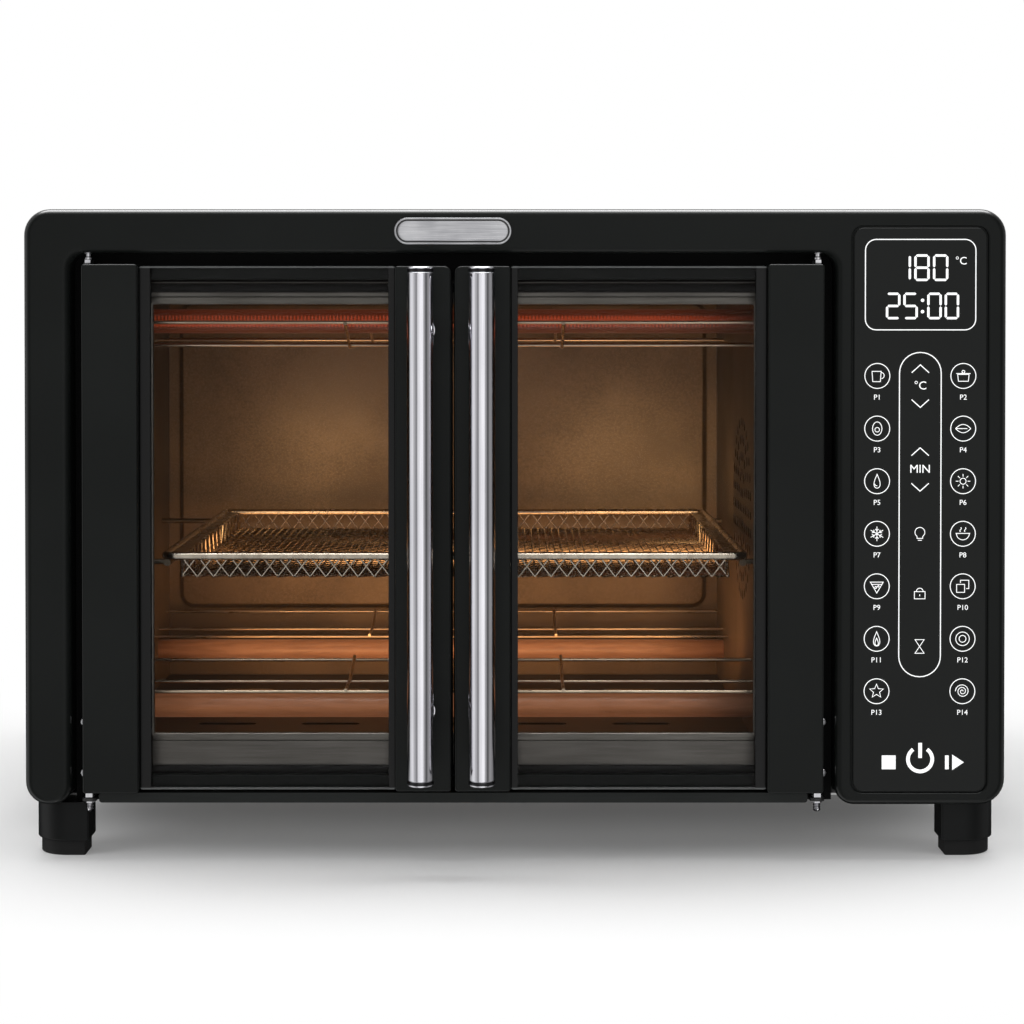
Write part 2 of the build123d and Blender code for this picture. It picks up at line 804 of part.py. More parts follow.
# Feet: moulded blocks with a round outer corner, each on a smaller rubber sole
front_foot_y = front_y + foot_setback
rear_foot_y = back_y - foot_depth - foot_setback
foot_x = foot_inset - body_width / 2
foot_rows = {"front": front_foot_y, "rear": rear_foot_y}


def foot_block(y, inset, low, high):
    # A foot on the left side between two heights, its corner at the body's corner widely rounded.
    with BuildSketch(Plane.XY.offset(low)) as plan:
        with Locations((foot_x + inset, y + inset)):
            Rectangle(foot_width - 2 * inset, foot_depth - 2 * inset, align=(Align.MIN, Align.MIN))
        outer = plan.vertices().group_by(Axis.X)[0].sort_by(Axis.Y)
        curved, square = (outer[0], outer[-1]) if y < 0 else (outer[-1], outer[0])
        fillet(square, foot_corner)
        fillet(plan.vertices().sort_by_distance(curved)[0], foot_curve - inset)
    extrude(plan.sketch, amount=high - low)


for place, y in foot_rows.items():
    with BuildPart() as feet:
        foot_block(y, 0, sole_height, foot_height)
        mirror(about=body_mirror)
    save(feet, f"{place}_feet")

with BuildPart() as foot_soles:
    for y in foot_rows.values():
        foot_block(y, sole_inset, 0, sole_height)
    mirror(about=body_mirror)
save(foot_soles, "foot_soles")

# Back fittings: the cord gland, two wall spacers and the panel screws
gland_x = body_width / 2 - gland_inset
gland_z = body_bottom + gland_rise
with BuildPart() as cord_gland:
    rod((gland_x, back_y, gland_z), (0, 1, 0), gland_radius, gland_flange)
    rod(
        (gland_x, back_y - gland_length + gland_flange, gland_z),
        (0, 1, 0),
        gland_radius - gland_flange,
        gland_length - gland_flange,
    )
    rod(
        (gland_x, back_y - gland_length, gland_z),
        (0, 1, 0),
        gland_bore,
        2 * gland_length,
        Mode.SUBTRACT,
    )
save(cord_gland, "cord_gland")

with BuildPart() as rear_spacers:
    with BuildSketch(front_plane(back_y)):
        with Locations((0, body_top - body_height / 4)):
            with GridLocations(spacer_spread, 0, 2, 1):
                SlotOverall(4 * rear_gap, rear_gap, rotation=90)
    extrude(amount=-rear_gap)
    fillet(rear_spacers.faces().group_by(Axis.Y)[-1].edges(), rear_gap / 5)
save(rear_spacers, "rear_spacers")

with BuildPart() as case_screws:
    with BuildSketch(front_plane(back_y)):
        with Locations((0, body_bottom + body_height / 2)):
            with GridLocations(body_width - 2 * case_lip, (body_height - 2 * case_lip) / 2, 2, 3):
                Circle(screw_radius)
    extrude(amount=-screw_height)
save(case_screws, "case_screws")

# Lower hinges: brackets on the recess plate and the bolts that stand up into the doors
bracket_top = stile_bottom - door_side_gap / 2
bolt_head_bottom = body_bottom + bolt_floor_gap
bolt_tip = body_bottom - bolt_tip_drop
with BuildPart() as lower_hinge_brackets:
    for x in (pivot_x, right_pivot_x):
        block(
            (x - bracket_half_width, pivot_y - bracket_half_width, bracket_top - bracket_sheet),
            (x + bracket_half_width, recess_y, bracket_top),
        )
        rod(
            (x, pivot_y, bracket_top - 2 * bracket_sheet),
            (0, 0, 1),
            pin_radius,
            3 * bracket_sheet,
            Mode.SUBTRACT,
        )
save(lower_hinge_brackets, "lower_hinge_brackets")

with BuildPart() as lower_hinge_bolts:
    for x in (pivot_x, right_pivot_x):
        bolt_length = stile_bottom + 2 * stile_wall - bolt_tip
        washer_height = stile_bottom - tray_door_gap / 2 - bracket_top
        rod((x, pivot_y, bolt_tip), (0, 0, 1), pin_radius, bolt_length)
        rod((x, pivot_y, bracket_top), (0, 0, 1), hinge_nut_radius, washer_height)
        rod(
            (x, pivot_y, bolt_head_bottom),
            (0, 0, 1),
            hinge_nut_radius - tray_side_gap / 2,
            bracket_top - bracket_sheet - bolt_head_bottom,
        )
save(lower_hinge_bolts, "lower_hinge_bolts")


def door_stile(left, right, low, high):
    # A folded channel, open at the back, with closed ends.
    block((left, door_front_y, low), (right, door_back_y, high))
    block(
        (left + stile_wall, door_front_y + stile_wall, low + stile_wall),
        (right - stile_wall, door_back_y, high - stile_wall),
        Mode.SUBTRACT,
    )


# Left door, and the right one as its mirror image
hinge_stile_right = door_left + stile_width
handle_stile_left = door_inner - stile_width
with BuildPart() as hinge_stile:
    door_stile(door_left, hinge_stile_right, stile_bottom, stile_top)
    for z in (stile_bottom - stile_wall, stile_top - 2 * stile_wall):
        pin_hole = pin_radius + running_clearance
        rod((pivot_x, pivot_y, z), (0, 0, 1), pin_hole, 3 * stile_wall, Mode.SUBTRACT)

with BuildPart() as handle_stile:
    door_stile(handle_stile_left, door_inner, glass_bottom, glass_top)
    upright = handle_stile.edges().filter_by(Axis.Y).group_by(Axis.Z)[-1]
    fillet(upright, stile_corner / 2)

with BuildPart() as door_glass:
    block(
        (hinge_stile_right, glass_front_y, glass_bottom),
        (handle_stile_left, glass_back_y, glass_top),
    )

with BuildPart() as door_rails:
    for low in (glass_bottom, glass_top - door_rail_height):
        block(
            (hinge_stile_right, glass_back_y, low),
            (handle_stile_left, door_back_y, low + door_rail_height),
        )

with BuildPart() as handle_bar:
    bar_length = bar_top - bar_bottom
    rod((bar_x, bar_y, bar_bottom), (0, 0, 1), bar_radius, bar_length)
    rod((bar_x, bar_y, bar_bottom), (0, 0, 1), bar_radius - bar_wall, bar_length, Mode.SUBTRACT)

with BuildPart() as handle_caps:
    for end, inwards in ((bar_bottom, 1), (bar_top, -1)):
        rod((bar_x, bar_y, end), (0, 0, inwards), bar_radius - bar_wall, bar_cap_plug)
        rod((bar_x, bar_y, end), (0, 0, -inwards), bar_radius, bar_cap_height)
    for level in (0, -1):
        end_face = handle_caps.faces().sort_by(Axis.Z)[level]
        fillet(end_face.edges(), bar_cap_height / 2)

with BuildPart() as handle_posts:
    for z in (bar_bottom + post_end_gap, bar_top - post_end_gap):
        rod((bar_x, door_front_y, z), (0, -1, 0), post_radius, bar_standoff + bar_radius)
    rod((bar_x, bar_y, bar_bottom), (0, 0, 1), bar_radius, bar_length, Mode.SUBTRACT)

with BuildPart() as upper_pivot:
    rod((pivot_x, pivot_y, stile_top), (0, 0, 1), hinge_nut_radius, hinge_nut_height)
    rod(
        (pivot_x, pivot_y, stile_top),
        (0, 0, 1),
        pin_radius,
        door_top_gap + frame_wall + 2 * bracket_sheet,
    )

with BuildPart() as door_screws:
    for lift in door_screw_lifts:
        screw_start = (door_left, pivot_y, stile_bottom + lift)
        rod(screw_start, (-1, 0, 0), door_screw_radius, door_screw_height)
    fillet(door_screws.faces().group_by(Axis.X)[0].edges(), 0.8 * door_screw_height)

door_pieces = {
    "hinge_stile": hinge_stile,
    "handle_stile": handle_stile,
    "door_glass": door_glass,
    "door_rails": door_rails,
    "handle_bar": handle_bar,
    "handle_caps": handle_caps,
    "handle_posts": handle_posts,
    "upper_pivot": upper_pivot,
    "door_screws": door_screws,
}
for name, piece in door_pieces.items():
    save(piece, f"left_{name}")
    with BuildPart() as other_side:
        mirror(piece.part, about=door_mirror)
    save(other_side, f"right_{name}")
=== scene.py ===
import json
import math

import bmesh
import bpy
import numpy as np
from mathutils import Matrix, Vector
from mathutils.geometry import tessellate_polygon

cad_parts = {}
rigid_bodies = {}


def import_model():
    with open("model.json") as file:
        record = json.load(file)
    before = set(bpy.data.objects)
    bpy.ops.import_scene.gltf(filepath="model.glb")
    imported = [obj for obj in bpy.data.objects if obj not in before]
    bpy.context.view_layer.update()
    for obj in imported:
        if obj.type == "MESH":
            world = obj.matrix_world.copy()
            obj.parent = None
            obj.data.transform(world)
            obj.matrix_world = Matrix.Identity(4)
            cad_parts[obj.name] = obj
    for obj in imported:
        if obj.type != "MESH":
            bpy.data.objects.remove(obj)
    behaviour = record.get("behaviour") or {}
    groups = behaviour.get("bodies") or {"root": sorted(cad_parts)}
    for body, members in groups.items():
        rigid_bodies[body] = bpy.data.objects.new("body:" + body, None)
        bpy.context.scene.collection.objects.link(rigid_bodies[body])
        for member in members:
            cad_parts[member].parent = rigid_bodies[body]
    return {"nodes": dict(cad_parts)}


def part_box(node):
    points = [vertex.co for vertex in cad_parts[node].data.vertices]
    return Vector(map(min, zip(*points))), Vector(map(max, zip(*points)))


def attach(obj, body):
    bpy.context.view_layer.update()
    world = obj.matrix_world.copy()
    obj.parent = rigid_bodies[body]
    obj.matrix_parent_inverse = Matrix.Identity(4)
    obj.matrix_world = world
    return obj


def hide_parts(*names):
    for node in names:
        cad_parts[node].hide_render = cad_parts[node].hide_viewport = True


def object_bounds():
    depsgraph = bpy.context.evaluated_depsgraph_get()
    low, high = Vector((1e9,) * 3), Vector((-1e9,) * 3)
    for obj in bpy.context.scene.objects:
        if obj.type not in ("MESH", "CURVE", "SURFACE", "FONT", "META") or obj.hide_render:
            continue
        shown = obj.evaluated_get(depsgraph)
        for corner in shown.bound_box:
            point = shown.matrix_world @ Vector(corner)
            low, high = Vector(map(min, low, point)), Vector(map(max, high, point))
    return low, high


for leftover in list(bpy.data.objects):
    bpy.data.objects.remove(leftover)
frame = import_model()
cadBox = [list(corner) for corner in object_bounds()]
nodes = frame["nodes"]
slotOf = {name: node.data.materials[0].name for name, node in nodes.items()}
mm = 0.001
makeLook = dict(merge=0.001 * mm, smoothAngle=math.radians(38))
finishes = {}
print("frame loaded:", len(nodes), "nodes")


def inMetres(**sizes):
    # sizes written in mm, single ones and rows of them, as metres
    rows = {key: tuple(one * mm for one in size) for key, size in sizes.items() if isinstance(size, tuple)}
    return {key: rows[key] if key in rows else size * mm for key, size in sizes.items()}


# Shapes: points are arrays in metres, faces a list of index arrays with one row for each face

def corners(*names):
    # lowest and highest corner of some nodes taken together
    boxes = [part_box(name) for name in names]
    low = np.min([list(box[0]) for box in boxes], axis=0)
    high = np.max([list(box[1]) for box in boxes], axis=0)
    return low, high


def spread(axes, first, second, third):
    # three coordinate arrays laid on the named axes: "xzy" puts the third along y
    found = dict(zip(axes, np.broadcast_arrays(first, second, third)))
    return np.stack([found["x"], found["y"], found["z"]], axis=-1)


def gridFaces(rows, columns, closedRows=False, closedColumns=False):
    # quads between neighbouring points of a grid, and over its seams where it is closed
    index = np.arange(rows * columns).reshape(rows, columns)
    if closedRows:
        index = np.vstack([index, index[:1]])
    if closedColumns:
        index = np.hstack([index, index[:, :1]])
    quads = np.stack([index[:-1, :-1], index[:-1, 1:], index[1:, 1:], index[1:, :-1]], axis=-1)
    return quads.reshape(-1, 4)


def gridSurface(points, closedRows=False, closedColumns=False):
    # a grid of points as a surface
    rows, columns = points.shape[:2]
    return points.reshape(-1, 3), [gridFaces(rows, columns, closedRows, closedColumns)]


def joined(parts):
    # several surfaces as one
    starts = np.cumsum([0] + [len(points) for points, faces in parts])
    allFaces = [group + start for (points, faces), start in zip(parts, starts) for group in faces]
    return np.vstack([points for points, faces in parts]), allFaces


def roundedLine(points, radii, steps=6, closed=True):
    # a line whose corners are arcs: each arc's centre lies a radius inside both of its sides.
    # Gives the points and their normals, which point outwards where the line runs anticlockwise.
    points = np.asarray(points, float)
    radii = np.broadcast_to(np.asarray(radii, float), len(points))
    before = points - np.roll(points, 1, axis=0)
    after = np.roll(points, -1, axis=0) - points
    if not closed:
        before[0], after[-1] = after[0], before[-1]
    before /= np.linalg.norm(before, axis=1, keepdims=True)
    after /= np.linalg.norm(after, axis=1, keepdims=True)
    cross = before[:, 0] * after[:, 1] - before[:, 1] * after[:, 0]
    turn = np.arctan2(cross, np.sum(before * after, axis=1))
    signed = (np.sign(turn) * radii)[:, None]
    normal = np.stack([before[:, 1], -before[:, 0]], axis=-1)
    reach = (radii * np.tan(np.abs(turn) / 2))[:, None]
    centres = points - before * reach - normal * signed
    angles = np.arctan2(normal[:, 1], normal[:, 0])[:, None] + turn[:, None] * np.linspace(0, 1, steps + 1)
    normals = np.stack([np.cos(angles), np.sin(angles)], axis=-1)
    line = centres[:, None] + signed[:, None] * normals
    return line.reshape(-1, 2), normals.reshape(-1, 2)


def rectangle(low, high, radii, steps=6):
    # a rectangle with rounded corners, anticlockwise from its lower left corner
    sides = ((low[0], low[1]), (high[0], low[1]), (high[0], high[1]), (low[0], high[1]))
    return roundedLine(sides, radii, steps)


def frontOutline(node, radii, steps=6):
    # a node's box seen from the front, with rounded corners
    low, high = corners(node)
    return rectangle(low[[0, 2]], high[[0, 2]], radii, steps)


def bandPoints(axes, outline, insets, depths):
    # the outline drawn in by each inset and set at each depth: one row for each step of a profile
    line, normals = outline
    rows = line[None] - np.asarray(insets, float)[:, None, None] * normals[None]
    return spread(axes, rows[..., 0], rows[..., 1], np.asarray(depths, float)[:, None])


def band(axes, outline, insets, depths, closedRows=False, capped=True):
    # a profile carried round an outline, with its first and last rows filled
    points = bandPoints(axes, outline, insets, depths)
    rows, columns = points.shape[:2]
    surface, faces = gridSurface(points, closedRows, True)
    if capped and not closedRows:
        first = np.arange(columns)[None]
        faces += [first[:, ::-1], first + (rows - 1) * columns]
    return surface, faces


def filled(axes, outline, inset, depth):
    # a flat face inside an outline
    loop = bandPoints(axes, outline, [inset], [depth])[0]
    return loop, [np.arange(len(loop))[None]]


def holedCap(axes, outer, outerInset, hole, holeInset, depth):
    # a flat face between two outlines
    loops = [filled(axes, outline, inset, depth)[0] for outline, inset in ((outer, outerInset), (hole, holeInset))]
    flat = [[Vector((point[0], point[2], 0)) for point in loop] for loop in loops]
    return np.vstack(loops), [np.array(tessellate_polygon(flat))]


def roundedEdge(front, back, frontRadius, backRadius=0.0, steps=6, support=0.4 * mm):
    # a slab's edge as insets and depths: a narrow flat, a quarter circle, the side, and the same at the back
    # where that has a radius
    turn = np.linspace(0, math.pi / 2, steps + 1)
    inward = math.copysign(1, back - front)
    insets = [frontRadius + support, *(frontRadius * (1 - np.sin(turn)))]
    depths = [front, *(front + inward * frontRadius * (1 - np.cos(turn)))]
    if backRadius:
        insets += [*(backRadius * (1 - np.cos(turn))), backRadius + support]
        depths += [*(back - inward * backRadius * (1 - np.sin(turn))), back]
    else:
        insets += [0]
        depths += [back]
    return insets, depths


def slab(axes, outline, front, back, frontRadius, backRadius):
    # an outline with thickness, its edges rounded in front and behind
    return band(axes, outline, *roundedEdge(front, back, frontRadius, backRadius))


def tray(axes, outline, front, back, edge, wall):
    # a slab that is hollow from behind: its wall comes forward again inside
    insets, depths = roundedEdge(front, back, edge)
    inner = front + math.copysign(wall, back - front)
    return band(axes, outline, insets + [wall, wall], depths + [back, inner])


def lathe(axes, centre, radii, heights, sides):
    # a profile of radius against height turned about the third axis
    turn = np.linspace(0, 2 * math.pi, sides, endpoint=False)
    radii = np.asarray(radii, float)[:, None]
    heights = np.asarray(heights, float)[:, None]
    points = spread(axes, centre[0] + radii * np.cos(turn), centre[1] + radii * np.sin(turn), heights)
    return gridSurface(points, closedColumns=True)


def turnedProfile(points, radii, steps=5):
    # a lathe profile with its corners rounded, as radii and heights
    line, normals = roundedLine(points, radii, steps, closed=False)
    return line[:, 0], line[:, 1]


def roundBar(axes, centre, radius, ends, rim, sides):
    # a round bar along the third axis, the rims of its ends rounded
    profile = ((0, ends[0]), (radius, ends[0]), (radius, ends[1]), (0, ends[1]))
    return lathe(axes, centre, *turnedProfile(profile, (0, rim, rim, 0)), sides)


def rings(along, radius, binormal, sides):
    # a circle for each direction, on the two directions square to it
    along = along / np.linalg.norm(along, axis=1, keepdims=True)
    across = np.cross(along, binormal)
    across /= np.linalg.norm(across, axis=1, keepdims=True)
    upright = np.cross(across, along)
    turn = np.linspace(0, 2 * math.pi, sides, endpoint=False)[None, :, None]
    return radius * (np.cos(turn) * across[:, None] + np.sin(turn) * upright[:, None])


def wire(path, radius, binormal, sides, closed=False):
    # rings along a path, drawn to a point at open ends
    gaps = np.linalg.norm(np.diff(path, axis=0), axis=1)
    path = path[np.r_[True, gaps > 1e-7]]
    along = np.roll(path, -1, axis=0) - np.roll(path, 1, axis=0) if closed else np.gradient(path, axis=0)
    points = path[:, None] + rings(along, radius, binormal, sides)
    if not closed:
        ends = np.repeat(path[[0, -1], None], sides, axis=1)
        points = np.concatenate([ends[:1], points, ends[1:]])
    return gridSurface(points, closedRows=closed, closedColumns=True)


def rods(starts, ends, radius, binormal, sides=6):
    # many straight wires at once: a ring at each end of each, and its two end faces
    ring = rings(ends - starts, radius, binormal, sides)
    points = np.stack([starts[:, None] + ring, ends[:, None] + ring], axis=1)
    first = (np.arange(len(starts)) * 2 * sides)[:, None, None]
    sideFaces = (gridFaces(2, sides, closedColumns=True)[None] + first).reshape(-1, 4)
    cap = np.arange(sides)[None]
    caps = np.concatenate([cap[:, ::-1] + first[:, 0], cap + sides + first[:, 0]])
    return points.reshape(-1, 3), [sideFaces, caps]


def makePiece(name, surface, slot, body="oven", stands=(), finish=None):
    # a surface as an object: doubles merged, faces turned outwards, smooth up to an angle
    points, faces = surface
    mesh = bpy.data.meshes.new(name)
    mesh.from_pydata(points, [], [face for group in faces for face in group.tolist()])
    work = bmesh.new()
    work.from_mesh(mesh)
    bmesh.ops.remove_doubles(work, verts=work.verts, dist=makeLook["merge"])
    bmesh.ops.recalc_face_normals(work, faces=work.faces)
    work.to_mesh(mesh)
    work.free()
    mesh.shade_smooth()
    mesh.set_sharp_from_angle(angle=makeLook["smoothAngle"])
    piece = bpy.data.objects.new(name, mesh)
    bpy.context.scene.collection.objects.link(piece)
    mesh.materials.append(finishes[finish or slot])
    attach(piece, body)
    if stands:
        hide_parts(*stands)


def dress(node, surface, body="oven", finish=None):
    # a piece that stands for a node: its name in camelCase, and its slot
    first, *others = node.split("_")
    makePiece(first + "".join(other.capitalize() for other in others), surface, slotOf[node], body, [node], finish)


# Finishes

def tone(red, green, blue):
    # a screen colour of 0 to 255 as a linear one
    return [((c / 255 + 0.055) / 1.055) ** 2.4 if c > 10 else c / 255 / 12.92 for c in (red, green, blue)] + [1]


class Shade:
    # one socket of a material's nodes; sums with numbers or other sockets add Math nodes
    def __init__(self, tree, socket=None):
        self.tree = tree
        self.socket = socket

    def node(self, kind, settings, sockets, output=0):
        made = self.tree.nodes.new(kind)
        for key, setting in settings.items():
            setattr(made, key, setting)
        for key, value in sockets.items():
            if isinstance(value, Shade):
                self.tree.links.new(value.socket, made.inputs[key])
            else:
                made.inputs[key].default_value = value
        return Shade(self.tree, made.outputs[output])

    def math(self, operation, first, second=0.0):
        return self.node("ShaderNodeMath", {"operation": operation}, {0: first, 1: second})

    def __add__(self, other):
        return self.math("ADD", self, other)

    def __sub__(self, other):
        return self.math("SUBTRACT", self, other)

    def __rsub__(self, other):
        return self.math("SUBTRACT", other, self)

    def __mul__(self, other):
        return self.math("MULTIPLY", self, other)

    def __truediv__(self, other):
        return self.math("DIVIDE", self, other)

    def __abs__(self):
        return self.math("ABSOLUTE", self)

    __radd__ = __add__
    __rmul__ = __mul__

    def over(self, other):
        return self.math("MAXIMUM", self, other)

    def root(self):
        return self.math("SQRT", self)

    def axis(self, name):
        return self.node("ShaderNodeSeparateXYZ", {}, {0: self}, name)

    def scaled(self, factors):
        return self.node("ShaderNodeVectorMath", {"operation": "MULTIPLY"}, {0: self, 1: factors})

    def noise(self, scale, detail=2.0):
        # values about 0.5 in soft blotches, so many to a metre
        return self.node("ShaderNodeTexNoise", {}, {"Vector": self, "Scale": scale, "Detail": detail})

    def ramp(self, low, high):
        # 0 below the low value, 1 above the high one, smooth between them
        settings = {"interpolation_type": "SMOOTHSTEP"}
        return self.node("ShaderNodeMapRange", settings, {"Value": self, "From Min": low, "From Max": high})

    def blend(self, first, second):
        # from the first colour to the second
        return self.node("ShaderNodeMix", {"data_type": "RGBA"}, {0: self, 6: first, 7: second}, 2)

    def bump(self, strength, distance):
        return self.node("ShaderNodeBump", {}, {"Height": self, "Strength": strength, "Distance": distance}, "Normal")


def makeFinish(slot, fixed, vary):
    # a Principled material: constants on its sockets, and what varies over the surface linked to them
    material = bpy.data.materials.new(slot + ".finish")
    material.use_nodes = True
    tree = material.node_tree
    shader = tree.nodes["Principled BSDF"]
    for key, value in fixed.items():
        shader.inputs[key].default_value = value
    here = Shade(tree).node("ShaderNodeTexCoord", {}, {}, "Object")
    for key, value in vary(here).items():
        tree.links.new(value.socket, shader.inputs[key])
    finishes[slot] = material


satinLook = dict(clouds=14, turned=(0.1, 0.45), away=(0.5, 0.8), contrast=(0.3, 0.7), bump=0.25)
metalLook = dict(clouds=22, contrast=(0.3, 0.7), lineGloss=0.12, cloudGloss=0.08, bump=0.15)


def satin(colour, worn, rough, grain, patchy=0.06, depth=0.02 * mm, rim=0.8):
    # moulded or painted: fine grain, cloudy gloss stronger where a face turns away, a little colour variation
    def vary(here):
        cloud = here.noise(satinLook["clouds"], 3)
        fine = here.noise(grain, 2)
        turned = here.node("ShaderNodeLayerWeight", {}, {"Blend": 0.5}, "Facing")
        edge = turned.ramp(*satinLook["turned"]) * (1 - turned.ramp(*satinLook["away"]))
        return {
            "Coat Weight": edge * rim * (0.8 + cloud * 0.4),
            "Base Color": (cloud * 0.7 + fine * 0.3).ramp(*satinLook["contrast"]).blend(colour, worn),
            "Roughness": rough + (cloud - 0.5) * patchy + (fine - 0.5) * patchy,
            "Normal": fine.bump(satinLook["bump"], depth),
        }
    return vary


def metal(colour, shadeColour, rough, stretch, depth=0.01 * mm):
    # sheet or bar steel with fine lines along its brushing
    def vary(here):
        lines = here.scaled(stretch).noise(1, 3)
        cloud = here.noise(metalLook["clouds"], 3)
        return {
            "Base Color": (lines * 0.5 + cloud * 0.5).ramp(*metalLook["contrast"]).blend(colour, shadeColour),
            "Roughness": rough + (lines - 0.5) * metalLook["lineGloss"] + (cloud - 0.5) * metalLook["cloudGloss"],
            "Normal": lines.bump(metalLook["bump"], depth),
        }
    return vary


blackGloss = {"Specular IOR Level": 0.1, "Coat Roughness": 0.18}
steel = {"Metallic": 1.0}
# sockets, colour, worn colour, roughness, grains to a metre, and what differs from the usual satin
satinFinishes = {
    "black_moulding": (blackGloss, (17, 19, 18), (22, 24, 23), 0.3, 2600, {}),
    "case_paint": (blackGloss, (20, 21, 21), (27, 28, 28), 0.5, 1500, {"depth": 0.05 * mm}),
    "stile_paint": (blackGloss, (19, 21, 20), (24, 26, 25), 0.3, 2200, {}),
    "recess_paint": ({"Specular IOR Level": 0.06}, (7, 7, 7), (11, 11, 11), 0.6, 1800, {"rim": 0.1}),
    "seal_rubber": ({"Specular IOR Level": 0.15}, (16, 16, 16), (22, 22, 22), 0.7, 3000, {"rim": 0.1}),
    "foot_plastic": (blackGloss, (17, 18, 18), (23, 24, 24), 0.42, 2400, {"rim": 0.2}),
    "sole_rubber": ({"Specular IOR Level": 0.2}, (20, 20, 20), (27, 27, 27), 0.72, 3200, {"rim": 0.1}),
    "panel_gloss": (
        {"Specular IOR Level": 0.14}, (17, 19, 18), (20, 22, 21), 0.16, 3000, {"patchy": 0.02, "depth": 0.004 * mm},
    ),
    "motor_paint": (blackGloss, (40, 42, 44), (52, 54, 56), 0.5, 1600, {}),
    "display_black": (blackGloss, (10, 10, 12), (14, 14, 16), 0.2, 3000, {}),
    "board_green": ({}, (18, 70, 38), (26, 88, 48), 0.5, 900, {}),
    "cap_ceramic": ({}, (205, 198, 184), (222, 216, 204), 0.75, 1800, {"depth": 0.05 * mm, "rim": 0.0}),
}
# sockets, colour, shade, roughness, noise cells to a metre on each axis, and the bump's depth
metalFinishes = {
    "plated_sheet": (steel, (178, 178, 176), (158, 158, 158), 0.36, (60, 900, 60)),
    "bright_steel": (steel, (205, 204, 206), (180, 180, 184), 0.22, (1200, 1200, 90)),
    "hinge_plate": ({"Metallic": 0.7}, (62, 62, 62), (46, 46, 46), 0.4, (300, 300, 300)),
    "fan_metal": (steel, (170, 170, 168), (150, 150, 150), 0.34, (900, 60, 60)),
    "tray_steel": ({"Metallic": 0.6, "Specular IOR Level": 0.3}, (28, 30, 29), (36, 38, 37), 0.5, (40, 900, 900)),
    "face_steel": (steel, (104, 101, 97), (86, 83, 79), 0.4, (40, 900, 900)),
    "hem_steel": (steel, (108, 105, 100), (88, 85, 80), 0.36, (40, 900, 900)),
    "rail_steel": (steel, (112, 102, 88), (90, 80, 68), 0.38, (900, 40, 900)),
    "guard_wire": (steel, (196, 180, 158), (160, 142, 120), 0.28, (40, 900, 900)),
    "basket_steel": (steel, (206, 196, 180), (172, 160, 144), 0.26, (300, 300, 300)),
    "handle_steel": (steel, (226, 225, 230), (212, 211, 217), 0.13, (2400, 2400, 30), 0.004 * mm),
}
for slot, (fixed, colour, worn, rough, grain, apart) in satinFinishes.items():
    makeFinish(slot, fixed, satin(tone(*colour), tone(*worn), rough, grain, **apart))
for slot, (fixed, colour, shadeColour, *others) in metalFinishes.items():
    makeFinish(slot, fixed, metal(tone(*colour), tone(*shadeColour), *others))

cavityLook = dict(
    pale=tone(112, 96, 76), browned=tone(82, 69, 53), dark=tone(34, 29, 24), contrast=(0.34, 0.66),
    above=(0.09, 0.15), shadeAndFloorDarkening=0.8, rough=0.42, blotches=16, specks=900, bump=0.35, depth=0.05 * mm,
)


def cavityVary(here):
    # heat-browned sheet: soft patches, fine speckle and a little bump; the floor is darker, and the side walls
    # above the basket are darkened with painted shade
    blotch, speck = here.noise(cavityLook["blotches"], 4), here.noise(cavityLook["specks"], 2)
    left, right = corners("cavity_left_wall")[1][0], corners("cavity_right_wall")[0][0]
    # painted shade: the side walls darken above the basket, where they are seen edge-on
    aside = 1 - here.axis("X").ramp(left, left + mm) + here.axis("X").ramp(right - mm, right)
    bottom = corners("cavity_floor")[1][2]
    below = 1 - here.axis("Z").ramp(bottom, bottom + mm)
    dark = (aside * here.axis("Z").ramp(*cavityLook["above"])).over(below) * cavityLook["shadeAndFloorDarkening"]
    brown = (blotch * 0.6 + speck * 0.4).ramp(*cavityLook["contrast"])
    brown = brown.blend(cavityLook["pale"], cavityLook["browned"])
    return {
        "Base Color": dark.blend(brown, cavityLook["dark"]),
        "Roughness": cavityLook["rough"] + (blotch - 0.5) * 0.2 + (speck - 0.5) * 0.1,
        "Normal": speck.bump(cavityLook["bump"], cavityLook["depth"]),
    }


makeFinish("cavity_steel", {"Metallic": 0.3}, cavityVary)

badgeLook = dict(
    inMetres(rim=1.0, line=0.55), rough=0.3, brushing=(50, 900, 2600), clouds=60, bump=0.2, depth=0.01 * mm,
    pale=tone(196, 196, 198), shade=tone(150, 150, 154), black=tone(16, 16, 16),
)


def badgeVary(here):
    # brushed plate: lines along x, and a black line inside the rim, by the distance from a lozenge's spine
    low, high = corners("badge")
    middle, radius = (low + high) / 2, (high[2] - low[2]) / 2
    rim, width = badgeLook["rim"], badgeLook["line"]
    beyond = (abs(here.axis("X") - middle[0]) - (high[0] - low[0]) / 2 + radius).over(0.0)
    rise = here.axis("Z") - middle[2]
    inset = radius - (beyond * beyond + rise * rise).root()
    line = inset.ramp(0.8 * rim, rim) - inset.ramp(rim + width, rim + 1.4 * width)
    brushed = here.scaled(badgeLook["brushing"]).noise(1, 3)
    cloud = here.noise(badgeLook["clouds"], 2)
    plate = (brushed * 0.5 + cloud * 0.5).ramp(*metalLook["contrast"]).blend(badgeLook["pale"], badgeLook["shade"])
    return {
        "Base Color": line.blend(plate, badgeLook["black"]),
        "Metallic": 1 - line,
        "Roughness": badgeLook["rough"] + (brushed - 0.5) * 0.2,
        "Normal": brushed.bump(badgeLook["bump"], badgeLook["depth"]),
    }


makeFinish("badge_steel", {}, badgeVary)

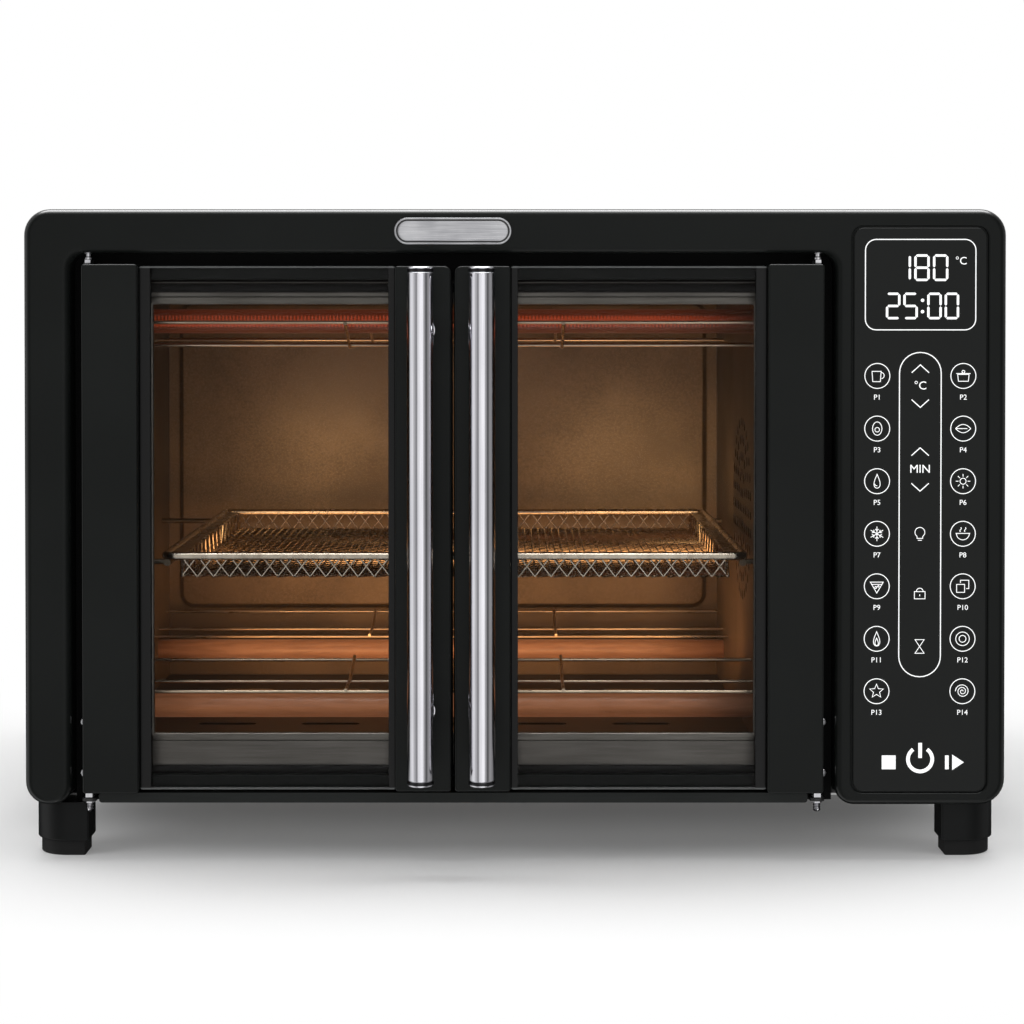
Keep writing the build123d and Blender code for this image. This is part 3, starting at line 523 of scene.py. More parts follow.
heaterLook = dict(
    upperTube=(0.05, 0.009, 0.003, 1), lowerTube=(0.15, 0.055, 0.022, 1),
    upperCoil=(0.95, 0.1, 0.02, 1), lowerCoil=(0.75, 0.26, 0.09, 1),
    coldTube=(0, 0, 0, 1), coldCoil=(0.01, 0.002, 0, 1), glowing=(0.6, 0.98),
    upperFrost=tone(104, 72, 55), lowerFrost=(tone(128, 92, 70), tone(150, 112, 88)), frosting=(0.3, 0.7),
    upperClear=0.72, lowerClear=0.86, middleHeight=0.15, mottling=(60, 500, 500), unevenness=120,
)
printGlow = dict(dim=(0.72, 0.73, 0.73, 1), bright=(0.84, 0.85, 0.85, 1), patches=400)


def heatAlong(here):
    # 1 over most of a heater's length, 0 at its ends
    low, high = corners("lower_heater_tubes")
    along = abs(here.axis("X") - (low[0] + high[0]) / 2) / ((high[0] - low[0]) / 2)
    return 1 - along.ramp(*heaterLook["glowing"])


def upperHeater(here):
    # 1 on the upper heaters, 0 on the lower ones
    return here.axis("Z").ramp(heaterLook["middleHeight"] - mm, heaterLook["middleHeight"] + mm)


def quartzVary(here):
    # frosted tubes: the lower pair glows orange all through, the upper pair is clearer and shows its red coil
    mottle = here.scaled(heaterLook["mottling"]).noise(1, 2)
    upper = upperHeater(here)
    glow = upper.blend(heaterLook["lowerTube"], heaterLook["upperTube"])
    frost = mottle.ramp(*heaterLook["frosting"]).blend(*heaterLook["lowerFrost"])
    return {
        "Base Color": upper.blend(frost, heaterLook["upperFrost"]),
        "Emission Color": (heatAlong(here) * (0.75 + mottle * 0.5)).blend(heaterLook["coldTube"], glow),
        "Roughness": 0.22 + mottle * 0.2,
        "Alpha": heaterLook["lowerClear"] + upper * (heaterLook["upperClear"] - heaterLook["lowerClear"]),
    }


def filamentVary(here):
    # hot wire, a little uneven along its length
    glow = upperHeater(here).blend(heaterLook["lowerCoil"], heaterLook["upperCoil"])
    hot = heatAlong(here) * (0.8 + here.noise(heaterLook["unevenness"], 2) * 0.4)
    return {"Emission Color": hot.blend(heaterLook["coldCoil"], glow)}


def printVary(here):
    # white enamel, faintly uneven, lit from behind
    patches = here.noise(printGlow["patches"], 2).ramp(0.2, 0.8)
    return {"Emission Color": patches.blend(printGlow["dim"], printGlow["bright"])}


makeFinish("quartz", {"Emission Strength": 1.0}, quartzVary)
makeFinish("filament_wire", {"Base Color": tone(90, 60, 44), "Emission Strength": 1.0}, filamentVary)
makeFinish("panel_print", {"Base Color": tone(225, 226, 226), "Roughness": 0.4, "Emission Strength": 0.75}, printVary)

capLook = dict(inMetres(dark=(0.25, 1.6), soft=0.15), plug=tone(26, 26, 28), bright=tone(214, 213, 218), scuffs=700)


def capVary(here):
    # dark plug with a bright rim at its outer end, by the distance beyond the bar's end
    low, high = corners("left_handle_bar", "right_handle_bar")
    beyond = abs(here.axis("Z") - (low[2] + high[2]) / 2) - (high[2] - low[2]) / 2
    (start, end), soft = capLook["dark"], capLook["soft"]
    rim = (1 - beyond.ramp(start - soft, start)) + beyond.ramp(end, end + soft)
    return {
        "Base Color": rim.blend(capLook["plug"], capLook["bright"]),
        "Roughness": 0.2 + (here.noise(capLook["scuffs"], 2) - 0.5) * 0.12,
        "Metallic": 0.55 + rim * 0.45,
    }


makeFinish("handle_cap", {}, capVary)

glassLook = dict(
    inMetres(hingeBand=5.2, handleBand=3.3, edge=0.9, soft=0.2, edgeSoft=0.1), clear=0.1, smears=9,
    smoked=tone(20, 16, 13), ink=tone(10, 10, 10), paintedEdgeHighlight=tone(96, 98, 98),
)


def glassVary(here):
    # dark clear glass: black print beside both stiles, and a painted highlight: paler, more opaque glass along the
    # top and bottom edges
    low, high = corners("left_door_glass", "right_door_glass")
    half, centre = (high[0] - low[0]) / 2, (low[0] + high[0]) / 2
    stiles = corners("left_handle_stile", "right_handle_stile")
    inner = (stiles[1][0] - stiles[0][0]) / 2
    soft, edgeSoft, rim = glassLook["soft"], glassLook["edgeSoft"], glassLook["edge"]
    out, height = abs(here.axis("X") - centre), here.axis("Z")
    printed = (out - half + glassLook["hingeBand"]).ramp(-soft, soft)
    printed = printed.over((inner + glassLook["handleBand"] - out).ramp(-soft, soft))
    # painted highlight along the top and bottom edges
    edge = (height - high[2] + rim).over(low[2] + rim - height).ramp(-edgeSoft, edgeSoft)
    smear = here.noise(glassLook["smears"], 4)
    return {
        "Base Color": edge.blend(printed.blend(glassLook["smoked"], glassLook["ink"]), glassLook["paintedEdgeHighlight"]),
        "Alpha": printed.over(edge * 0.8).over(glassLook["clear"] + (smear - 0.5) * 0.03),
        "Roughness": 0.04 + (smear - 0.5).over(0.0) * 0.08 + printed * 0.25,
    }


makeFinish("door_glass", {"Specular IOR Level": 0.2}, glassVary)
for name, node in nodes.items():
    node.data.materials[0] = finishes[slotOf[name]]
print("finishes made:", len(finishes))


# Front frame: an arch with a rolled front edge, hollow behind, and a pocket for the touch panel
frontFrame = inMetres(
    edge=3.6, wall=2.6, outer=12.0, legOuter=10.6, legInner=9.0, recess=7.0,
    pocketEdge=0.9, pocketLip=0.3, pocketDepth=1.4, gap=0.7, panelCorner=5.3,
)


def frontFrameSurface():
    # a rounded edge carried round the arch, and a rounded well round the pocket
    low, high = corners("front_frame")
    recessLow, recessHigh = corners("recess_plate")
    left, right, lintel = recessLow[0], recessHigh[0], recessHigh[2]
    size = frontFrame
    sides = (
        (low[0], low[2]), (left, low[2]), (left, lintel), (right, lintel),
        (right, low[2]), (high[0], low[2]), (high[0], high[2]), (low[0], high[2]),
    )
    turns = [size[key] for key in ("legOuter", "legInner", "recess", "recess", "legInner", "outer", "outer", "outer")]
    arch = roundedLine(sides, turns, steps=10)
    panelLow, panelHigh = corners("touch_panel")
    pocketLow, pocketHigh = panelLow[[0, 2]] - size["gap"], panelHigh[[0, 2]] + size["gap"]
    pocket = rectangle(pocketLow, pocketHigh, size["panelCorner"], steps=8)
    front, inside, well = low[1], low[1] + size["wall"], low[1] + size["pocketDepth"]
    insets, depths = roundedEdge(front, high[1], size["edge"], steps=8)
    walls = band("xzy", arch, insets + 2 * [size["wall"]], depths + [high[1], inside], capped=False)
    lip = -size["pocketEdge"] - size["pocketLip"]
    turn = np.linspace(0, math.pi / 2, 5)
    pocketInsets = [lip, *(-size["pocketEdge"] * (1 - np.sin(turn))), 0]
    pocketDepths = [front, *(front + size["pocketEdge"] * (1 - np.cos(turn))), well]
    return joined([
        walls, holedCap("xzy", arch, insets[0], pocket, lip, front),
        band("xzy", pocket, pocketInsets, pocketDepths, capped=False),
        filled("xzy", pocket, 0, well), filled("xzy", arch, size["wall"], inside),
    ])


dress("front_frame", frontFrameSurface())

# Doors: folded stiles, bevelled glass, tube handles with capped ends, posts, hinge pins and side screws, and a
# dark rubber-finished sheet on each meeting edge: painted shade that keeps the gap between the doors dark
doorLook = inMetres(edge=0.9, wall=1.5, corner=1.5, innerCorner=3.2, glassBevel=0.5, glassCorner=1.2)
barLook = inMetres(
    rim=0.35, groove=0.5, grooveDepth=0.5, capLip=0.2, capRound=0.5,
    postFoot=4.4, postFootHeight=1.6, postNeck=1.5, postRound=0.6,
)
gapShadeLook = inMetres(gap=0.2, root=1.0, end=6.0, turn=0.15)
pinLook = dict(
    inMetres(nut=2.0, soft=0.3, head=2.0, headTop=3.4, stem=1.5, turns=(0, 0.3, 0.5, 0.2, 0.3, 0)),
    nutShare=0.82, chamfer=0.94,
)
boltLook = dict(
    inMetres(
        pin=1.8, root=1.5, pitch=0.7, runOut=0.4, nut=3.1, lowerNut=2.4, tip=3.9, washer=2.4, soft=0.25,
        plate=6.8, plateCorners=(2.6, 2.6, 0.3, 0.3), plateEdge=0.25,
    ),
    point=0.7, chamfer=0.88,
)
screwDome = 1.5
doorCentre = sum(corner[0] for corner in corners("left_door_glass", "right_door_glass")) / 2


def stileSurface(node, turns):
    # a folded sheet: a hollow slab as large as its node
    low, high = corners(node)
    return tray("xzy", frontOutline(node, turns), low[1], high[1], doorLook["edge"], doorLook["wall"])


def gapShadeSurface(stile, outwards):
    # a thin dark slab from inside the stile almost to the middle of the doorway: painted shade in the gap
    low, high = corners(stile)
    gap, root, end, turn = (gapShadeLook[key] for key in ("gap", "root", "end", "turn"))
    left, right = (high[0] - root, doorCentre - gap) if outwards < 0 else (doorCentre + gap, low[0] + root)
    outline = rectangle((left, low[2] + end), (right, high[2] - end), turn, steps=3)
    return slab("xzy", outline, (low[1] + high[1]) / 2, high[1] - root, turn, turn)


def glassSurface(node):
    # a slab with narrow bevels
    low, high = corners(node)
    bevel = doorLook["glassBevel"]
    return slab("xzy", frontOutline(node, doorLook["glassCorner"], steps=4), low[1], high[1], bevel, bevel)


def barSurface(node):
    # an upright round bar
    low, high = corners(node)
    return roundBar("xyz", (low + high) / 2, (high[0] - low[0]) / 2, (low[2], high[2]), barLook["rim"], sides=64)


def capSurface(node, barNode):
    # a plug in each end of the bar: a neck sunk in it, then a cap with a soft outer edge
    low, high = corners(node)
    bar = corners(barNode)
    centre, radius = (low + high) / 2, (high[0] - low[0]) / 2
    neck = radius - barLook["grooveDepth"]
    turns = (0, 0, 0, barLook["capLip"], barLook["capRound"], 0)
    parts = []
    for end, outer in ((bar[0][2], low[2]), (bar[1][2], high[2])):
        groove = math.copysign(barLook["groove"], outer - end)
        sunk, proud = end - groove, end + groove
        profile = ((0, sunk), (neck, sunk), (neck, proud), (radius, proud), (radius, outer), (0, outer))
        parts.append(lathe("xyz", centre, *turnedProfile(profile, turns), sides=64))
    return joined(parts)


def postSurface(node, barNode):
    # two posts turned about y, from the middle of the bar to a wider foot on the stile
    low, high = corners(node)
    bar = corners(barNode)
    radius, foot = (high[0] - low[0]) / 2, barLook["postFoot"]
    front, step, back = (bar[0][1] + bar[1][1]) / 2, high[1] - barLook["postFootHeight"], high[1]
    profile = ((0, front), (radius, front), (radius, step), (foot, step), (foot, back), (0, back))
    turned = turnedProfile(profile, (0, 0, barLook["postNeck"], barLook["postRound"], 0, 0))
    x = (low[0] + high[0]) / 2
    return joined([lathe("xzy", (x, z), *turned, sides=40) for z in (low[2] + radius, high[2] - radius)])


def nutSurface(centre, radius, bottom, top, soft, chamfer):
    # a hexagon, its corners taken off at both ends
    radii = radius * np.array((0, chamfer, 1, 1, chamfer, 0))
    return lathe("xyz", centre, radii, (bottom, bottom, bottom + soft, top - soft, top, top), sides=6)


def pinSurface(node):
    # a hexagon nut under a screw head on the pin
    low, high = corners(node)
    centre, radius = (low + high) / 2, pinLook["nutShare"] * (high[0] - low[0]) / 2
    bottom, top = low[2] + pinLook["nut"], low[2] + pinLook["headTop"]
    head, stem = pinLook["head"], pinLook["stem"]
    profile = ((0, bottom), (head, bottom), (head, top), (stem, top), (stem, high[2]), (0, high[2]))
    nut = nutSurface(centre, radius, low[2], bottom, pinLook["soft"], pinLook["chamfer"])
    return joined([nut, lathe("xyz", centre, *turnedProfile(profile, pinLook["turns"]), sides=24)])


def sideScrewSurface(node, outwards):
    # plain domes: quarter ellipses turned about x
    low, high = corners(node)
    radius = (high[1] - low[1]) / 2
    inner, outer = (high[0], low[0]) if outwards < 0 else (low[0], high[0])
    turn = np.linspace(0, math.pi / 2, 9)
    reach = [0, *(radius * np.cos(turn))]
    height = [inner, *(inner + screwDome * (outer - inner) * np.sin(turn))]
    places = [((low[1] + high[1]) / 2, z) for z in (low[2] + radius, high[2] - radius)]
    return joined([lathe("yzx", place, reach, height, sides=28) for place in places])


for side, outwards in (("left", -1), ("right", 1)):
    body, small, large = side + "_door", doorLook["corner"], doorLook["innerCorner"]
    innerTurns = (small, small, large, small) if outwards < 0 else (small, small, small, large)
    hinge, stile, glass, bar, caps, posts, pivot, screws = (
        side + rest for rest in (
            "_hinge_stile", "_handle_stile", "_door_glass", "_handle_bar", "_handle_caps", "_handle_posts",
            "_upper_pivot", "_door_screws",
        )
    )
    dress(hinge, stileSurface(hinge, small), body)
    dress(stile, stileSurface(stile, innerTurns), body)
    # a dark sheet on the meeting edge: painted shade in the gap between the doors
    makePiece(side + "GapShadeSheet", gapShadeSurface(stile, outwards), "seal_rubber", body)
    dress(glass, glassSurface(glass), body)
    dress(bar, barSurface(bar), body)
    dress(caps, capSurface(caps, bar), body, "handle_cap")
    dress(posts, postSurface(posts, bar), body)
    dress(pivot, pinSurface(pivot), body)
    dress(screws, sideScrewSurface(screws, outwards), body)


def lowerBoltSurface():
    # hexagon nuts above and below the bracket on a threaded pin, whose radius goes in and out with the height
    low, high = corners("lower_hinge_bolts")
    bracketLow, bracketHigh = corners("lower_hinge_brackets")
    size = boltLook
    heights = np.arange(low[2] + size["runOut"], high[2] - size["runOut"], size["pitch"] / 2)
    thread = np.where(np.arange(len(heights)) % 2, size["pin"], size["root"])
    point = size["root"] * size["point"]
    radii, heights = [0, point, *thread, point, 0], [low[2], low[2], *heights, high[2], high[2]]
    lowerNut = size["lowerNut"], low[2] + size["tip"], bracketLow[2]
    upperNut = size["nut"], bracketHigh[2], bracketHigh[2] + size["washer"]
    parts = []
    for x in (low[0] + size["nut"], high[0] - size["nut"]):
        centre = (x, (low[1] + high[1]) / 2)
        parts.append(lathe("xyz", centre, radii, heights, sides=20))
        parts += [nutSurface(centre, *nut, size["soft"], size["chamfer"]) for nut in (lowerNut, upperNut)]
    return joined(parts)


def bracketSurface():
    # two small plates, their front corners rounded
    low, high = corners("lower_hinge_brackets")
    width, edge = boltLook["plate"], boltLook["plateEdge"]
    plates = []
    for left, right in ((low[0], low[0] + width), (high[0] - width, high[0])):
        plan = rectangle((left, low[1]), (right, high[1]), boltLook["plateCorners"])
        plates.append(slab("xyz", plan, high[2], low[2], edge, edge))
    return joined(plates)


dress("lower_hinge_bolts", lowerBoltSurface())
dress("lower_hinge_brackets", bracketSurface(), finish="hinge_plate")
print("doors made")

# Touch panel, and the print on it: white strokes laid on its face, in mm from its middle
panelLook = inMetres(edge=0.5, backEdge=0.2, corner=4.65)
printLook = dict(
    proud=0.06, sunk=0.02, line=0.46, motif=3.5, motifLine=0.34, ring=5.75, ringLine=0.38, label=3.4,
    digitLine=1.1, digitHeight=11.2, digitGap=0.15, colon=0.8, arrow=(4.0, 1.7, 1.9), keyLine=1.7,
)
printPlaces = dict(
    digits=(("180", -11.0, 106.0, 6.0, 8.6), ("25", -15.4, 88.4, 5.6, 8.0), ("00", 3.6, 88.4, 5.6, 8.0)),
    colon=((0.9, 91.4), (0.9, 96.6)),
    words=(("°C", 5.0, 18.6, 114.6), ("°C", 5.4, 0, 57.2), ("MIN", 5.4, 0, 18.8)),
    frames=(((-25.4, 83.0), (25.4, 124.6), 5.0), ((-9.6, -77.0), (9.6, 72.6), 9.5)),
    arrows=((65.0, 1), (49.2, -1), (26.8, 1), (10.6, -1)),
    column=19.8, topRow=61.8, rowPitch=24.25, labelDrop=9.9, motifs=(-11.0, -38.0, -63.0),
    stop=((-17.3, -119.8), (-10.9, -119.8), (-10.9, -113.4), (-17.3, -113.4)),
    powerRing=(0.4, -115.2, 5.6, 125, 415, 40), powerBar=((0.4, -114.6), (0.4, -107.6)),
    startBar=((11.9, -119.8), (13.6, -119.8), (13.6, -113.4), (11.9, -113.4)),
    startArrow=((15.2, -120.2), (20.6, -116.6), (15.2, -113.0)),
)
low, high = corners("touch_panel")
panelMiddle, panelFront = (low + high) / 2, low[1]
panelOutline = frontOutline("touch_panel", panelLook["corner"], steps=8)
dress("touch_panel", slab("xzy", panelOutline, low[1], high[1], panelLook["edge"], panelLook["backEdge"]))


def inked(flat, height):
    # places on the panel's face, so much proud of it
    x, z = panelMiddle[0] + flat[..., 0] * mm, panelMiddle[2] + flat[..., 1] * mm
    return spread("xzy", x, z, panelFront - height * mm)


def stroke(path, width, closed):
    # a flat rectangle carried along a line, mitred at its corners
    path = np.asarray(path, float)
    ahead = np.roll(path, -1, axis=0) - path
    ahead = ahead if closed else np.vstack([ahead[:-1], ahead[-2:-1]])
    ahead /= np.linalg.norm(ahead, axis=1, keepdims=True)
    behind = np.roll(ahead, 1, axis=0)
    behind = behind if closed else np.vstack([ahead[:1], behind[1:]])
    middle = ahead + behind
    middle /= np.linalg.norm(middle, axis=1, keepdims=True)
    spare = np.clip(np.sum(middle * ahead, axis=1, keepdims=True), 0.5, 1)
    side = np.stack([-middle[:, 1], middle[:, 0]], axis=-1) * width / 2 / spare
    top, bottom = printLook["proud"], -printLook["sunk"]
    edges = ((path + side, top), (path - side, top), (path - side, bottom), (path + side, bottom))
    surface, faces = gridSurface(np.stack([inked(*edge) for edge in edges], axis=1), closed, True)
    ring = np.arange(4)[None]
    return surface, faces if closed else faces + [ring, ring + len(surface) - 4]


def patch(outline):
    # a filled outline
    outline = np.asarray(outline, float)
    rows = np.stack([inked(outline, printLook["proud"]), inked(outline, -printLook["sunk"])])
    surface, faces = gridSurface(rows, closedColumns=True)
    ring = np.arange(len(outline))[None]
    return surface, faces + [ring, ring + len(outline)]


def lettering(text, size, x, y):
    # a text's mesh, its middle at the place
    curve = bpy.data.curves.new(text, "FONT")
    curve.body, curve.size, curve.align_x, curve.align_y = text, size, "CENTER", "CENTER"
    curve.extrude, curve.resolution_u = (printLook["proud"] + printLook["sunk"]) / 2, 3
    holder = bpy.data.objects.new(text, curve)
    mesh = bpy.data.meshes.new_from_object(holder)
    points = np.zeros(len(mesh.vertices) * 3)
    mesh.vertices.foreach_get("co", points)
    points = points.reshape(-1, 3)
    faces = [np.array([face.vertices[:]]) for face in mesh.polygons]
    for made, store in ((holder, bpy.data.objects), (curve, bpy.data.curves), (mesh, bpy.data.meshes)):
        store.remove(made)
    height = points[:, 2] + (printLook["proud"] - printLook["sunk"]) / 2
    return inked(points[:, :2] + np.array((x, y)), height), faces


# Motifs are lists of lines within a circle of radius 1, each with whether it is closed

def arc(x, y, radius, start=0.0, end=360.0, steps=20):
    # points on a circle from one angle to another, in degrees
    turn = np.radians(np.linspace(start, end, steps + 1))
    return np.stack([x + radius * np.cos(turn), y + radius * np.sin(turn)], axis=-1)


def bow(*places):
    return arc(*places), False


def circle(x, y, radius):
    # twenty points, the last one short of the first
    return arc(x, y, radius, 0, 342, 19), True


def drawn(x, y, closed=False):
    return np.stack([x, y], axis=-1), closed


def openPath(*points):
    return np.array(points, float), False


def closedPath(*points):
    return np.array(points, float), True


def spokes(count, inner, outer, turned=0.0):
    # straight lines from one radius to another, evenly turned
    turn = np.radians(turned + np.arange(count) * 360 / count)
    way = np.stack([np.cos(turn), np.sin(turn)], axis=-1)
    return [(np.stack([inner * one, outer * one]), False) for one in way]


def barbs(reach, radius):
    # small arcs across six spokes
    turns = range(30, 390, 60)
    ways = [(reach * math.cos(math.radians(turn)), reach * math.sin(math.radians(turn))) for turn in turns]
    return [bow(*way, radius, turn + 110, turn + 250, 6) for way, turn in zip(ways, turns)]


def drop(x, y, size):
    # a circle drawn out to a point at the top
    turn = np.linspace(0, 2 * math.pi, 24, endpoint=False)
    return drawn(x + 0.62 * size * np.sin(turn) * np.sin(turn / 2) ** 1.4, y + size * np.cos(turn), True)


sway = np.linspace(-1, 1, 9)
hump = 0.55 * (1 - sway ** 2)
starTurn = np.radians(90 + 36 * np.arange(10))
starReach = np.where(np.arange(10) % 2, 0.42, 0.95)
curl = np.linspace(0, 5 * math.pi, 40)
curlReach = 0.08 + 0.85 * curl / curl[-1]
columnMotifs = (
    [openPath((-0.7, 0.6), (-0.6, -0.75), (0.4, -0.75), (0.5, 0.6), (-0.7, 0.6)), bow(0.5, 0.05, 0.4, -85, 85)],
    [closedPath((-0.75, 0.2), (-0.65, -0.7), (0.65, -0.7), (0.75, 0.2)), openPath((-0.95, 0.32), (0.95, 0.32)),
     circle(0, 0.55, 0.18)],
    [(arc(0, 0, 1)[:-1] * (0.62, 0.88), True), circle(0, -0.15, 0.3)],
    [drawn(sway, hump), drawn(sway, -hump), openPath((-1, 0), (0.55, 0))],
    [drop(0, 0, 0.92), bow(-0.02, -0.3, 0.3, 190, 280, 8)],
    [circle(0, 0, 0.4)] + spokes(8, 0.6, 0.95),
    spokes(6, 0, 0.95, 30) + barbs(0.72, 0.24),
    [bow(0, 0.05, 0.85, 180, 360), openPath((-0.95, 0.05), (0.95, 0.05)),
     *(drawn(x + 0.1 * np.sin(sway * 3), 0.55 + 0.3 * sway) for x in (-0.3, 0.3))],
    [closedPath((-0.85, 0.55), (0.85, 0.55), (0, -0.9)), openPath((-0.7, 0.25), (0.7, 0.25)),
     circle(-0.12, -0.15, 0.13), circle(0.22, 0.0, 0.1)],
    [closedPath((-0.8, -0.8), (0.25, -0.8), (0.25, 0.25), (-0.8, 0.25)),
     openPath((-0.3, 0.45), (-0.3, 0.8), (0.8, 0.8), (0.8, -0.3), (0.45, -0.3))],
    [drop(0, 0, 0.95), drop(0, -0.4, 0.5)],
    [circle(0, 0, 0.9), circle(0, 0, 0.45)],
    [drawn(np.cos(starTurn) * starReach, np.sin(starTurn) * starReach, True)],
    [drawn(np.cos(curl) * curlReach, np.sin(curl) * curlReach)],
)
middleMotifs = (
    [bow(0, 0.2, 0.65, -55, 235), openPath((-0.37, -0.33), (-0.37, -0.6), (0.37, -0.6), (0.37, -0.33)),
     openPath((-0.25, -0.85), (0.25, -0.85))],
    [closedPath((-0.7, -0.85), (0.7, -0.85), (0.7, 0.1), (-0.7, 0.1)), bow(0, 0.1, 0.45, 0, 180),
     openPath((0, -0.25), (0, -0.5))],
    [closedPath((-0.6, 0.9), (0.6, 0.9), (-0.6, -0.9), (0.6, -0.9))],
)
segments = dict(
    a=((0, 1), (1, 1)), b=((1, 1), (1, 0.5)), c=((1, 0.5), (1, 0)), d=((0, 0), (1, 0)),
    e=((0, 0), (0, 0.5)), f=((0, 0.5), (0, 1)), g=((0, 0.5), (1, 0.5)),
)
litSegments = {"0": "abcdef", "1": "bc", "2": "abged", "5": "afgcd", "8": "abcdefg"}


def digits(text, x, y, width, pitch):
    # seven-segment figures: each lit segment a bar with pointed ends
    half, gap = printLook["digitLine"] / 2, printLook["digitGap"]
    parts = []
    for number, figure in enumerate(text):
        corner = np.array((x + number * pitch, y))
        for name in litSegments[figure]:
            ends = np.array(segments[name]) * (width, printLook["digitHeight"])
            along = (ends[1] - ends[0]) / np.linalg.norm(ends[1] - ends[0])
            aside = np.array((-along[1], along[0])) * half
            start, end = corner + ends[0] + along * gap, corner + ends[1] - along * gap
            near, far = start + along * half, end - along * half
            parts.append(patch((start, near - aside, far - aside, end, far + aside, near + aside)))
    return parts


def motif(strokes, x, y):
    # a motif's lines as strokes about a place
    place = np.array((x, y))
    return [stroke(place + path * printLook["motif"], printLook["motifLine"], closed) for path, closed in strokes]


def panelPrint():
    # display, arrows, ringed motifs with their numbers, middle motifs and the three keys
    at = printPlaces
    parts = [figure for place in at["digits"] for figure in digits(*place)]
    parts += [patch(arc(*place, printLook["colon"])[:-1]) for place in at["colon"]]
    parts += [lettering(*word) for word in at["words"]]
    parts += [stroke(rectangle(*outline, steps=8)[0], printLook["line"], True) for outline in at["frames"]]
    half, fall, tip = printLook["arrow"]
    for height, rise in at["arrows"]:
        ends = height - fall * rise
        parts.append(stroke(((-half, ends), (0, height + tip * rise), (half, ends)), printLook["line"], False))
    for number, strokes in enumerate(columnMotifs):
        x, y = at["column"] * (1 if number % 2 else -1), at["topRow"] - number // 2 * at["rowPitch"]
        parts += motif(strokes, x, y)
        parts.append(lettering("P%d" % (number + 1), printLook["label"], x, y - at["labelDrop"]))
        parts.append(stroke(arc(x, y, printLook["ring"], 0, 354, 59), printLook["ringLine"], True))
    for strokes, y in zip(middleMotifs, at["motifs"]):
        parts += motif(strokes, 0, y)
    parts += [patch(at["stop"]), patch(at["startBar"]), patch(at["startArrow"])]
    parts += [stroke(path, printLook["keyLine"], False) for path in (arc(*at["powerRing"]), at["powerBar"])]
    return joined(parts)


makePiece("panelPrint", panelPrint(), "panel_gloss", finish="panel_print")
print("panel printed")

# Badge: a lozenge with a raised rim, a groove and a slightly crowned middle
badgeProfile = inMetres(
    insets=(0, 0, 0.1, 0.3, 0.8, 0.95, 1.4, 1.7, 2.6, 4.0),
    heights=(0, 0.6, 0.85, 0.95, 0.95, 0.72, 0.72, 0.86, 0.94, 0.97), cornerSpare=0.01,
)
low, high = corners("badge")
lozenge = frontOutline("badge", (high[2] - low[2]) / 2 - badgeProfile["cornerSpare"], steps=16)
dress("badge", band("xzy", lozenge, badgeProfile["insets"], high[1] - np.array(badgeProfile["heights"])))

# Seal round the oven mouth with a thin pale wire on it, a painted highlight along its outer edge, and a rolled hem
# inside it
sealLook = dict(inMetres(width=4.6, corner=0.8, beadDepth=0.9, bead=0.3), flatness=0.6)
hemLook = dict(inMetres(side=1.0, bottom=15.0, top=5.6, height=1.9, depth=0.6), corner=2.2)
sealOutline = frontOutline("door_seal", sealLook["corner"] + sealLook["width"], steps=8)


def rolled(outline, width, back, front, rise):
    # half an ellipse carried round an outline, closed behind
    turn = np.linspace(0, math.pi, 9)
    insets = [0, *(width / 2 * (1 - np.cos(turn))), width]
    return band("xzy", outline, insets, [back, *(front - rise * np.sin(turn)), back], closedRows=True)


def sealSurface():
    # a flattened half round, the seal's width across
    low, high = corners("door_seal")
    rise = sealLook["flatness"] * sealLook["width"] / 2
    return rolled(sealOutline, sealLook["width"], high[1], low[1] + rise, rise)


def mouthHem():
    # a low half round on the face frame, its middle line set in from the seal on each side
    faceLow, faceHigh = corners("cavity_face_frame")
    low, high = corners("door_seal")
    inner, reach = sealLook["width"], hemLook["height"]
    side, bottom, top = (inner + hemLook[key] - 2 * reach for key in ("side", "bottom", "top"))
    lower, upper = (low[0] + side, low[2] + bottom), (high[0] - side, high[2] - top)
    outline = rectangle(lower, upper, hemLook["corner"] * reach)
    return rolled(outline, 2 * reach, faceHigh[1], faceLow[1], hemLook["depth"])


def sealBead():
    # a pale steel wire along the seal's outer edge: a painted highlight
    line = sealOutline[0]
    path = spread("xyz", line[:, 0], corners("door_seal")[0][1] + sealLook["beadDepth"], line[:, 1])
    return wire(path, sealLook["bead"], (0, 1, 0), sides=8, closed=True)


dress("door_seal", sealSurface())
makePiece("mouthHem", mouthHem(), "face_steel", finish="hem_steel")
# painted highlight: a pale steel wire on the seal's outer edge
makePiece("sealBead", sealBead(), "seal_rubber", finish="hem_steel")

# Cavity back wall with a large panel pressed forward
backLook = inMetres(inset=6.0, bottom=39.0, corner=9.0, rise=2.5, slope=3.0, plateCorner=0.5)


def backWallSurface():
    # the pressed panel's slope goes from 0 to 1 as a smooth step
    low, high = corners("cavity_back_wall")
    size, inset = backLook, backLook["inset"]
    left, right = corners("cavity_left_wall")[1][0] + inset, corners("cavity_right_wall")[0][0] - inset
    bottom, top = corners("cavity_floor")[1][2] + size["bottom"], corners("cavity_ceiling")[0][2] - inset
    flat = low[1] + size["rise"]
    plate = frontOutline("cavity_back_wall", size["plateCorner"], steps=3)
    press = rectangle((left, bottom), (right, top), size["corner"], steps=8)
    share = np.linspace(0, 1, 9)
    insets = size["slope"] * np.concatenate([[-0.2], share, [1.2]])
    depths = flat - size["rise"] * np.concatenate([[0], share * share * (3 - 2 * share), [1]])
    return joined([
        holedCap("xzy", plate, 0, press, insets[0], flat), band("xzy", press, insets, depths, capped=False),
        band("xzy", plate, (0, 0), (flat, high[1]), capped=False),
        filled("xzy", press, insets[-1], depths[-1]), filled("xzy", plate, 0, high[1]),
    ])


dress("cavity_back_wall", backWallSurface())
print("front made")

